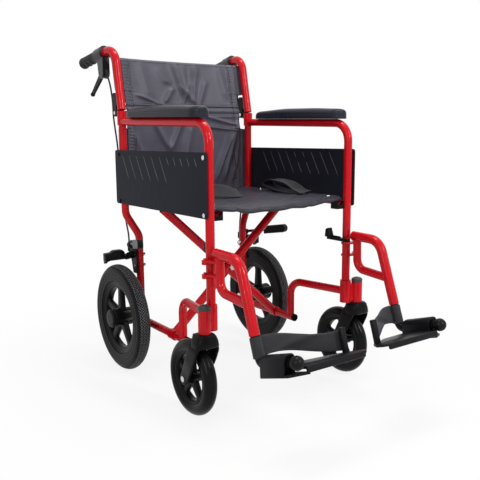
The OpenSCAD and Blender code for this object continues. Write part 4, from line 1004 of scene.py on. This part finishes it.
# %% Tyres
rear_centre = np.array([wheel_half, axle_y, axle_z])
caster_centre = np.array([wheel_half, -0.1365, 0.095])
rear_tyre = dict(crown_r=0.155, tube_r=0.020, seat_r=0.107, draw_in=0.0015, turns=440)
rear_tyre.update(centre=rear_centre, blocks=110, grooves=(-24, 0, 24))
caster_tyre = dict(crown_r=0.095, tube_r=0.0175, seat_r=0.066, draw_in=0.0045, turns=160)
caster_tyre.update(centre=caster_centre, blocks=0, grooves=())
for side, sign in sides.items():
    tyre = tyre_piece("rear_tread_" + side, sign, tyre_rubber, **rear_tyre)
    belongs(tyre, "rear_wheel_" + side, "rear_tyre_" + side)
    tyre = tyre_piece("caster_tread_" + side, sign, caster_rubber, **caster_tyre)
    belongs(tyre, "caster_wheel_" + side, "caster_wheel_" + side)

# %% [markdown]
# ## Wheels
# Both wheels are moulded in one piece: a ring, five spokes that widen towards the middle, and a hub.
# A boolean would join them into one solid, but shells that overlap look the same and stay clean. Ring
# and hub are turned from rounded profiles, and each spoke is a rounded box carried outwards.

# %% Spokes
def spokes(centre, inner, outer, wide, thick, count=5):
    """Bars from the hub to the ring: half width falls from wide[0] to wide[1], then flares at the ring."""
    share = np.linspace(0, 1, 18)
    r = inner + (outer - inner) * share
    half = wide[1] + (wide[0] - wide[1]) * (1 - share) ** 1.4
    half = half + 0.7 * wide[1] * ease((share - 0.72) / 0.28) ** 2
    depth = thick[0] + (thick[1] - thick[0]) * share
    shells = []
    for turn in 2 * np.pi * np.arange(count) / count:
        out = np.array([0, np.sin(turn), np.cos(turn)])
        tangent = np.array([0, np.cos(turn), -np.sin(turn)])
        shells.append(loft_shell(centre + r[:, None] * out, tangent, x_axis, half, depth, 3.2))
    return shells


# %% Wheels
rear_ring = [(0.1068, -0.0165), (0.1068, 0.0165), (0.1040, 0.0165), (0.0985, 0.0132), (0.0905, 0.0112),
             (0.0880, 0.0085), (0.0880, -0.0085), (0.0905, -0.0112), (0.0985, -0.0132), (0.1040, -0.0165)]
rear_hub = [(0, 0.029), (0.0116, 0.029), (0.0116, 0.018), (0.0061, 0.018), (0.0061, -0.027),
            (0.024, -0.027), (0.026, -0.025), (0.026, 0.028), (0.0245, 0.030), (0.0245, 0.031),
            (0.0265, 0.032), (0.0265, 0.036), (0.024, 0.0392), (0.018, 0.040), (0, 0.040)]
caster_ring = [(0.0657, -0.013), (0.0657, 0.013), (0.0620, 0.013), (0.0580, 0.009), (0.0570, 0.006),
               (0.0570, -0.006), (0.0580, -0.009), (0.0620, -0.013)]
caster_hub = [(0.00405, -0.0201), (0.0125, -0.0201), (0.0150, -0.0185), (0.0150, 0.0185), (0.0125, 0.0201),
              (0.00405, 0.0201)]
rear_shells = [
    turned_shell(rounded(rear_ring, 0.0018), rear_centre, x_axis, z_axis, 144),
    turned_shell(rounded(rear_hub, 0.0012, 4, False), rear_centre, x_axis, z_axis, 72, False),
    *spokes(rear_centre, inner=0.020, outer=0.0920, wide=(0.0160, 0.0105), thick=(0.0088, 0.0080)),
]
caster_shells = [
    turned_shell(rounded(caster_ring, 0.0014), caster_centre, x_axis, z_axis, 96),
    turned_shell(rounded(caster_hub, 0.0012, 4), caster_centre, x_axis, z_axis, 48),
    *spokes(caster_centre, inner=0.0115, outer=0.0590, wide=(0.0120, 0.0080), thick=(0.0085, 0.0070)),
]
moulded_pair("rear_wheel_rim", rear_shells, rim_plastic, "rear_wheel_{}", "rear_rim_{}")
moulded_pair("caster_core", caster_shells, rim_plastic, "caster_wheel_{}")

# %% [markdown]
# ## Caster forks
# The fork is a heavy moulding: a crown with sloping shoulders, two legs that sweep back to the axle
# and end round about it, and the stem that turns in the frame's housing. Bent plates would be too
# thin for it, so the legs are rounded bars carried along a curve.

# %% Caster forks
swivel_y, tip_r, tip_rows = -0.1935, 0.016, 9
leg_corners = [[-194.0, 215.5], [-190, 190], [-174, 152], [-151, 116], [-136.5, 95]]
leg_line = smooth_path(np.array(leg_corners) / 1000, 8)
leg_run = runs_of(leg_line)
tip = np.sin(np.linspace(0.12, 1.5, tip_rows)) * tip_r
leg_share = np.linspace(0, 1, len(leg_line))
leg_half = np.concatenate([0.0212 - 0.0052 * ease(leg_share), np.sqrt(tip_r**2 - tip**2)])
leg_line = np.vstack([leg_line, leg_line[-1] + tip[:, None] * leg_run[-1]])
leg_run = np.vstack([leg_run, np.tile(leg_run[-1], (tip_rows, 1))])
leg_z = leg_line[:, 1]
leg_path = np.column_stack([0 * leg_z + wheel_half, leg_line])
leg_across = np.column_stack([0 * leg_z, -leg_run[:, 1], leg_run[:, 0]])
shoulder = ease((leg_z - 0.186) / 0.030)
leg_out = 0.0300 - 0.0125 * ease((leg_z - 0.180) / 0.036) - 0.0055 * ease((0.150 - leg_z) / 0.055)
leg_thick, leg_half = 0.0036 + 0.0022 * shoulder, leg_half - 0.0020 * shoulder
fork_shells = [
    loft_shell(leg_path + g * leg_out[:, None] * x_axis, leg_across, x_axis, leg_half, leg_thick, 5.0)
    for g in (-1, 1)
]
crown_z = np.array([0.1870, 0.1898, 0.2030, 0.2075, 0.2120, 0.2158, 0.2178, 0.2184])
crown_x = [0.0304, 0.0324, 0.0296, 0.0280, 0.0256, 0.0232, 0.0212, 0.0195]
crown_y = [0.0232, 0.0250, 0.0240, 0.0228, 0.0216, 0.0205, 0.0198, 0.0190]
crown_path = np.column_stack([0 * crown_z + wheel_half, 0 * crown_z + swivel_y, crown_z])
fork_shells.append(loft_shell(crown_path, x_axis, y_axis, crown_x, crown_y, 3.6, 48))
stem = [(0, 0.205), (0.006, 0.205), (0.006, 0.273), (0, 0.273)]
fork_shells.append(turned_shell(stem, (wheel_half, swivel_y, 0), z_axis, x_axis, 32, False))
moulded_pair(
    "caster_fork_moulding", fork_shells, black_plastic, "caster_swivel_{}", "caster_fork_{}"
)

# %% [markdown]
# ## Push grips
# The grip is a rubber sleeve with a flange at its mouth, rounded ribs, finger hollows below and a
# closed end. It could be sculpted, but a lathe gives even ribs. It is turned about the handle, and
# the hollows are cut where the angle faces down.

# %% Push grips
handle_run = unit(handle_end - cane_corner)
grip_l, bore_r, bore_end = 0.098, 0.01215, 0.0952
grip_down = unit(np.array([0, 0, -1.0]) - handle_run * -handle_run[2])
g = np.linspace(0, grip_l - 0.0035, 110)
ribs = 0.0004 * np.cos(2 * np.pi * (g - 0.010) / 0.0063)
ribs = ribs * ease((g - 0.009) / 0.004) * ease((0.088 - g) / 0.004)
flange = 0.0014 * (1 - ease((g - 0.005) / 0.003)) + 0.0010 * ease((g - 0.088) / 0.004)
ends = 0.0016 * (1 - quarter(g / 0.0016)) + 0.0035 * (1 - quarter((grip_l - g) / 0.0075))
outer = np.column_stack([0.0163 + ribs + flange - ends, g])
bore, end = [(0, bore_end), (bore_r, bore_end), (bore_r, 0)], [(0.009, grip_l - 0.0006), (0, grip_l)]
fingers = 0.0038 * (0.5 - 0.5 * np.cos(2 * np.pi * (g - 0.012) / 0.0250))
fingers = fingers * ease((g - 0.011) / 0.003) * ease((0.087 - g) / 0.003)
hollow = np.concatenate([np.zeros(len(bore)), fingers, np.zeros(len(end))])
grip_shell = turned_shell(
    np.vstack([bore, outer, end]),
    handle_end - handle_run * grip_l,
    handle_run,
    grip_down,
    72,
    False,
    lambda a, row: hollow[row] * ease((np.cos(a) - 0.15) / 0.6),
)
moulded_pair("push_grip_rubber", [grip_shell], grip_rubber, "back_cane_{}", "push_grip_{}")

# %% [markdown]
# ## Lines on the side panels
# Each side panel carries a row of slanting raised lines on both faces. They could be painted by the
# material, but they stand a third of a millimetre proud, so they are thin rounded bars on the sheet. Their
# pale grey, fainter in the lower row, is painted highlight for the light that those ridges catch.

# %% Panel lines
line_slant = np.array([0, -0.0375, -0.0635])
line_half, line_proud = 0.0009, 0.00035
outer_face, inner_face = 0.2364, 0.2324
whole, broken = [(0, 1)], [(0, 0.26), (0.48, 1)]
# Each face's lines: y of the upper end, and the shares of the full line that are drawn
outer_lines = [(0.2527 - 0.0436 * k, (0, 1)) for k in range(6)]
outer_lines += [(-0.0035 - 0.0335 * k, (0.02, 0.31)) for k in range(5)]
inner_lines = [(0.2121 - 0.0381 * k, span) for k in range(9) for span in (broken if k in (4, 5) else whole)]
lower_lines = [(0.2160 - 0.0436 * k, (0, 0.85)) for k in range(6)]


def line_bar(face, y, high, slant, span):
    """A thin bar on the sheet: a straight path along the slant, with tapered ends, as a rounded loft."""
    path = np.array([face, y, high]) + np.linspace(*span, 6)[:, None] * slant
    taper = line_half * quarter(np.array([0.25, 1, 1, 1, 1, 0.25]))
    return loft_shell(path, unit(np.cross(slant, x_axis)), x_axis, taper, line_proud, 3.0, 10)


line_shells = [line_bar(outer_face, y, 0.626, line_slant, span) for y, span in outer_lines]
line_shells += [line_bar(inner_face, y, 0.630, line_slant, span) for y, span in inner_lines]
dull_shells = [line_bar(outer_face, y, 0.554, line_slant * [1, -1, 1], span) for y, span in lower_lines]
moulded_pair("panel_lines", line_shells, panel_line_highlight, "{}_frame")
moulded_pair("panel_dull_lines", dull_shells, faint_line_highlight, "{}_frame")

# %% [markdown]
# ## Footplates
# A footplate is one moulding: a rounded block that turns on the foot tube, a flat plate with a
# rolled lip along its front, a web below, and an upright tab that holds the heel strap. It could be
# cut from one box. Here each part is an outline or a section carried along a straight line, in the
# plate's own tilted directions and in mm, because its corners are all rounded alike.

# %% Outlines with a rounded rim
def drawn_rings(ring, insets):
    """The outline once for each inset, drawn in by it along the normals of an anticlockwise ring."""
    run = np.roll(ring, -1, 0) - np.roll(ring, 1, 0)
    normals = unit(np.column_stack([run[:, 1], -run[:, 0]]))
    return np.stack([ring - inset * normals for inset in insets])


def prism(outline, low, high, edge, reach):
    """A flat outline between two levels, with its rims drawn in by a quarter round."""
    flat = drawn_rings(rounded(outline, reach), edge * np.array([1, 0.3, 0, 0, 0.3, 1]))
    levels = np.array([low, low + 0.3 * edge, low + edge, high - edge, high - 0.3 * edge, high])
    return capped(np.concatenate([flat, np.broadcast_to(levels[:, None, None], (*flat.shape[:2], 1))], -1))


# %% Hinge block
plate_axes = np.array([[-1, 0, 0], toe, plate_up])
block_long, plate_long, plate_deep = 86, 196, 115
block_low, block_high = -27, 21
tab_x, tab_y = 172, 66


def block_shell():
    """The hinge block: a section with a round top, carried between two slanting ends; the front end is
    a rim round a shallow recess."""
    corners = [(-18, block_low), (15, block_low), (15, block_high), (-18, block_high)]
    section = rounded(corners, np.array([[4.0], [4.0], [15.0], [15.0]]), 9)
    share = np.array([0, 0.012, 0.04, 0.96, 0.988, 1, 1, 0.965])[:, None]
    flat = drawn_rings(section, [3.2, 1.0, 0, 0, 1.0, 2.2, 4.6, 5.0])
    height = (flat[..., 1] - block_low) / (block_high - block_low)
    rear, front = -6 + 13 * height, block_long - 8 + 14 * height
    return capped(np.stack([flat[..., 0], rear + (front - rear) * share, flat[..., 1]], -1))


# %% Footplates
plate_outline = [(12, 4), (96, 12), (tab_x, tab_y - 14), (plate_long, plate_deep - 32),
                 (plate_long, plate_deep - 10), (plate_long - 9, plate_deep), (19, plate_deep),
                 (19, block_long - 8), (12, block_long - 8)]
web_outline = [(-16, 30), (26, 30), (26, plate_deep), (-16, block_long + 4)]
lip_outline = [(19, plate_deep - 7), (plate_long - 12, plate_deep - 7), (plate_long - 12, plate_deep),
               (19, plate_deep)]
tab_outline = [(tab_x + g * 7, tab_y + h * 6) for g, h in ((-1, -1), (1, -1), (1, 1), (-1, 1))]
# Each prism: outline, low and high level, rounding of its rims and of its corners
plate_shells = [
    block_shell(),
    prism(plate_outline, -16, -10, 1.6, 5),
    prism(web_outline, -27, -21, 1.6, 4),
    prism(lip_outline, -24, -12, 3.0, 3),
    prism(tab_outline, -15, 45, 2.2, 4),
]
plate_shells = [(plate_origin + p @ plate_axes / 1000, f) for p, f in plate_shells]
moulded_pair(
    "footplate_moulding", plate_shells, plate_plastic, "footplate_{}", "footplate_{}"
)

# %% [markdown]
# ## Brake shoe guards
# The bar that presses on the rear tyre sits in a pressed steel guard, with a raised middle and an
# outer end that hooks down. A bent sheet would show its thin edge, so the guard is a flat outline
# across the tyre, in mm, with a rounded rim.

# %% Brake shoe guards
guard_outline = [(218, 318), (242, 318), (246, 325), (262, 325), (266, 316), (280, 316), (280, 340),
                 (262, 341), (252, 347), (226, 347), (218, 339)]
guard_points, guard_faces = prism(guard_outline, 297, 317, 2.0, 3)
guard_shell = (guard_points[:, [0, 2, 1]] / 1000, guard_faces)
moulded_pair("brake_shoe_guard", [guard_shell], black_metal, "brake_shoe_{}")

# %% [markdown]
# ## Latch tabs
# The latch that holds a legrest has a wedge under the thumb and a stiffening rib along its bar. Both
# could be boxes with bevels. Flat outlines seen from the side of the chair, given a width, show the
# wedge's slant better.

# %% Latch tabs
tab_outlines = [
    ([(-146, 399), (-124, 399), (-127, 421), (-137, 425)], 190.5, 206.5),
    ([(-184, 394.5), (-130, 394.5), (-130, 405), (-176, 405)], 195.0, 202.0),
]
latch_prisms = [prism(outline, low, high, 1.5, 3) for outline, low, high in tab_outlines]
latch_shells = [(points[:, [2, 0, 1]] / 1000, faces) for points, faces in latch_prisms]
moulded_pair("latch_tab", latch_shells, black_plastic, "swing_latch_{}")

# %% [markdown]
# ## Rounded edges
# Mouldings and pressed brackets never have knife edges. Modelling each bracket again would only
# repeat the construction part. So a merged copy of it, with its flat faces made whole again, takes a
# Bevel modifier, which rounds only its sharp edges and catches a thin highlight along each of them.

# %% Bevelled copies
def softened(node, look, slot, width, segments):
    """Copies a node's triangles with equal corners merged, dissolves flat edges, and bevels sharp ones."""
    source = nodes[node].data
    points = np.zeros(len(source.vertices) * 3)
    source.vertices.foreach_get("co", points)
    source.calc_loop_triangles()
    corners = np.zeros(len(source.loop_triangles) * 3, np.int32)
    source.loop_triangles.foreach_get("vertices", corners)
    kept, index = np.unique(np.round(points.reshape(-1, 3), 7), axis=0, return_inverse=True)
    faces = index.reshape(-1)[corners.reshape(-1, 3)]
    faces = faces[np.all(faces != np.roll(faces, 1, 1), 1)]
    piece = make_piece(node + "_moulding", kept, faces, look)
    work = bmesh.new()
    work.from_mesh(piece.data)
    bmesh.ops.dissolve_limit(work, angle_limit=np.radians(1.0), verts=work.verts, edges=work.edges)
    work.to_mesh(piece.data)
    work.free()
    bevel = piece.modifiers.new("edges", "BEVEL")
    bevel.width, bevel.segments = width, segments
    bevel.limit_method, bevel.angle_limit = "ANGLE", np.radians(35)
    bevel.harden_normals = True
    belongs(piece, body_of(nodes[node])[0], node)
    return piece


# %% Rounded edges
# Each part: finish, slot, width of the bevel, its segments
rounded_parts = {
    "frame_plugs": (black_plastic, "black_plastic", 0.0030, 3),
    "frame_bolts": (plated_steel, "steel", 0.0006, 2),
    "brake_clamp": (dark_gloss, "dark_gloss", 0.0025, 3),
    "brake_lever": (black_plastic, "black_plastic", 0.0010, 2),
    "wheel_brake": (black_metal, "black_metal", 0.0008, 2),
    "brake_shoe": (black_metal, "black_metal", 0.0008, 2),
    "park_lever": (black_metal, "black_metal", 0.0014, 3),
    "back_hinge": (black_plastic, "black_plastic", 0.0012, 2),
    "swing_latch": (black_plastic, "black_plastic", 0.0012, 2),
}
# Faces inside these boxes take a second finish: the panel's rear screws are black, and the caster caps,
# which are black plastic, are grey as painted highlight for the light on their upward domes
second_looks = {
    "frame_bolts": (black_plastic, (0.229, 0.255, 0.47), (0.300, 0.295, 0.65)),
    "frame_plugs": (cap_painted_highlight, (0.230, 0.170, 0.274), (0.270, 0.220, 0.300)),
}
for name, values in rounded_parts.items():
    for side in sides:
        piece = softened(name + "_" + side, *values)
        if name in second_looks:
            second, low, high = second_looks[name]
            piece.data.materials.append(second)
            centre = np.abs([f.center for f in piece.data.polygons])
            inside = np.all((centre > low) & (centre < high), 1)
            piece.data.polygons.foreach_set("material_index", inside.astype(np.int32))
print("rounded parts:", 2 * len(rounded_parts))

# %% [markdown]
# ## Light and floor
# Soft lamps and a plain white world light the chair at a level where a colour shows about as it is
# written. More light would whiten the background too, but it would wash out the chair. So the
# background is white only where the camera, a mirror or a glass looks at it, and the floor keeps the
# chair's shadow near it and turns plain white further out.

# %% World
def seen_rays(tree):
    """1 where a camera, glossy or transmission ray arrives, else 0."""
    rays = add_node(tree, "LightPath", {}).outputs
    first = math_node(tree, "MAXIMUM", rays["Is Camera Ray"], rays["Is Transmission Ray"])
    return math_node(tree, "MAXIMUM", first, rays["Is Glossy Ray"])


world_light, seen_more = 0.30, 0.70
world = bpy.data.worlds.new("studio")
scene.world = world
world.use_nodes = True
tree = world.node_tree
background = tree.nodes["Background"].inputs
background["Color"].default_value = (1, 1, 1, 1)
feed(tree, background["Strength"], math_node(tree, "MULTIPLY_ADD", seen_rays(tree), seen_more, world_light))
print("world light:", world_light)

# %% Floor
floor_half, floor_z = 30, -0.0005
floor_look, tree, shader, place = new_material("pale_floor")
shader["Base Color"].default_value = (0.86, 0.86, 0.86, 1)
shader["Roughness"].default_value = 0.9
far = add_node(tree, "VectorMath", {0: place["Object"]}, operation="LENGTH").outputs["Value"]
fade_inputs = {"Value": far, "From Min": 0.35, "From Max": 1.2, "To Min": 0.86, "To Max": 1.0}
fade = add_node(tree, "MapRange", fade_inputs, interpolation_type="SMOOTHSTEP").outputs["Result"]
share = math_node(tree, "MULTIPLY", seen_rays(tree), fade)
lit, glow = tree.nodes["Principled BSDF"].outputs[0], add_node(tree, "Emission", {}).outputs[0]
mixed = add_node(tree, "MixShader", {0: share, 1: lit, 2: glow})
feed(tree, tree.nodes["Material Output"].inputs[0], mixed.outputs[0])
corners = [(x * floor_half, y * floor_half, floor_z) for x, y in ((-1, -1), (1, -1), (1, 1), (-1, 1))]
make_piece("floor", corners, [(0, 1, 2, 3)], floor_look)
print("floor %.0f m wide" % (2 * floor_half))

# %% Lamps
lamp_aim = Vector((0, 0, 0.5))
# Each lamp: place, size, power
lamps = {
    "key_light": ((0.8, -3.0, 2.5), (0.45, 1.5), 70),
    "side_light": ((-2.6, -1.7, 1.8), (0.3, 1.8), 26),
    "top_light": ((0.1, 0.0, 3.2), (0.6, 1.8), 44),
}
for name, (place, size, power) in lamps.items():
    lamp = bpy.data.lights.new(name, "AREA")
    lamp.shape = "RECTANGLE"
    lamp.size, lamp.size_y = size
    lamp.energy = power
    holder = bpy.data.objects.new(name, lamp)
    scene.collection.objects.link(holder)
    holder.location = place
    holder.rotation_euler = (lamp_aim - Vector(place)).to_track_quat("-Z", "Y").to_euler()
print("lamps:", len(bpy.data.lights))
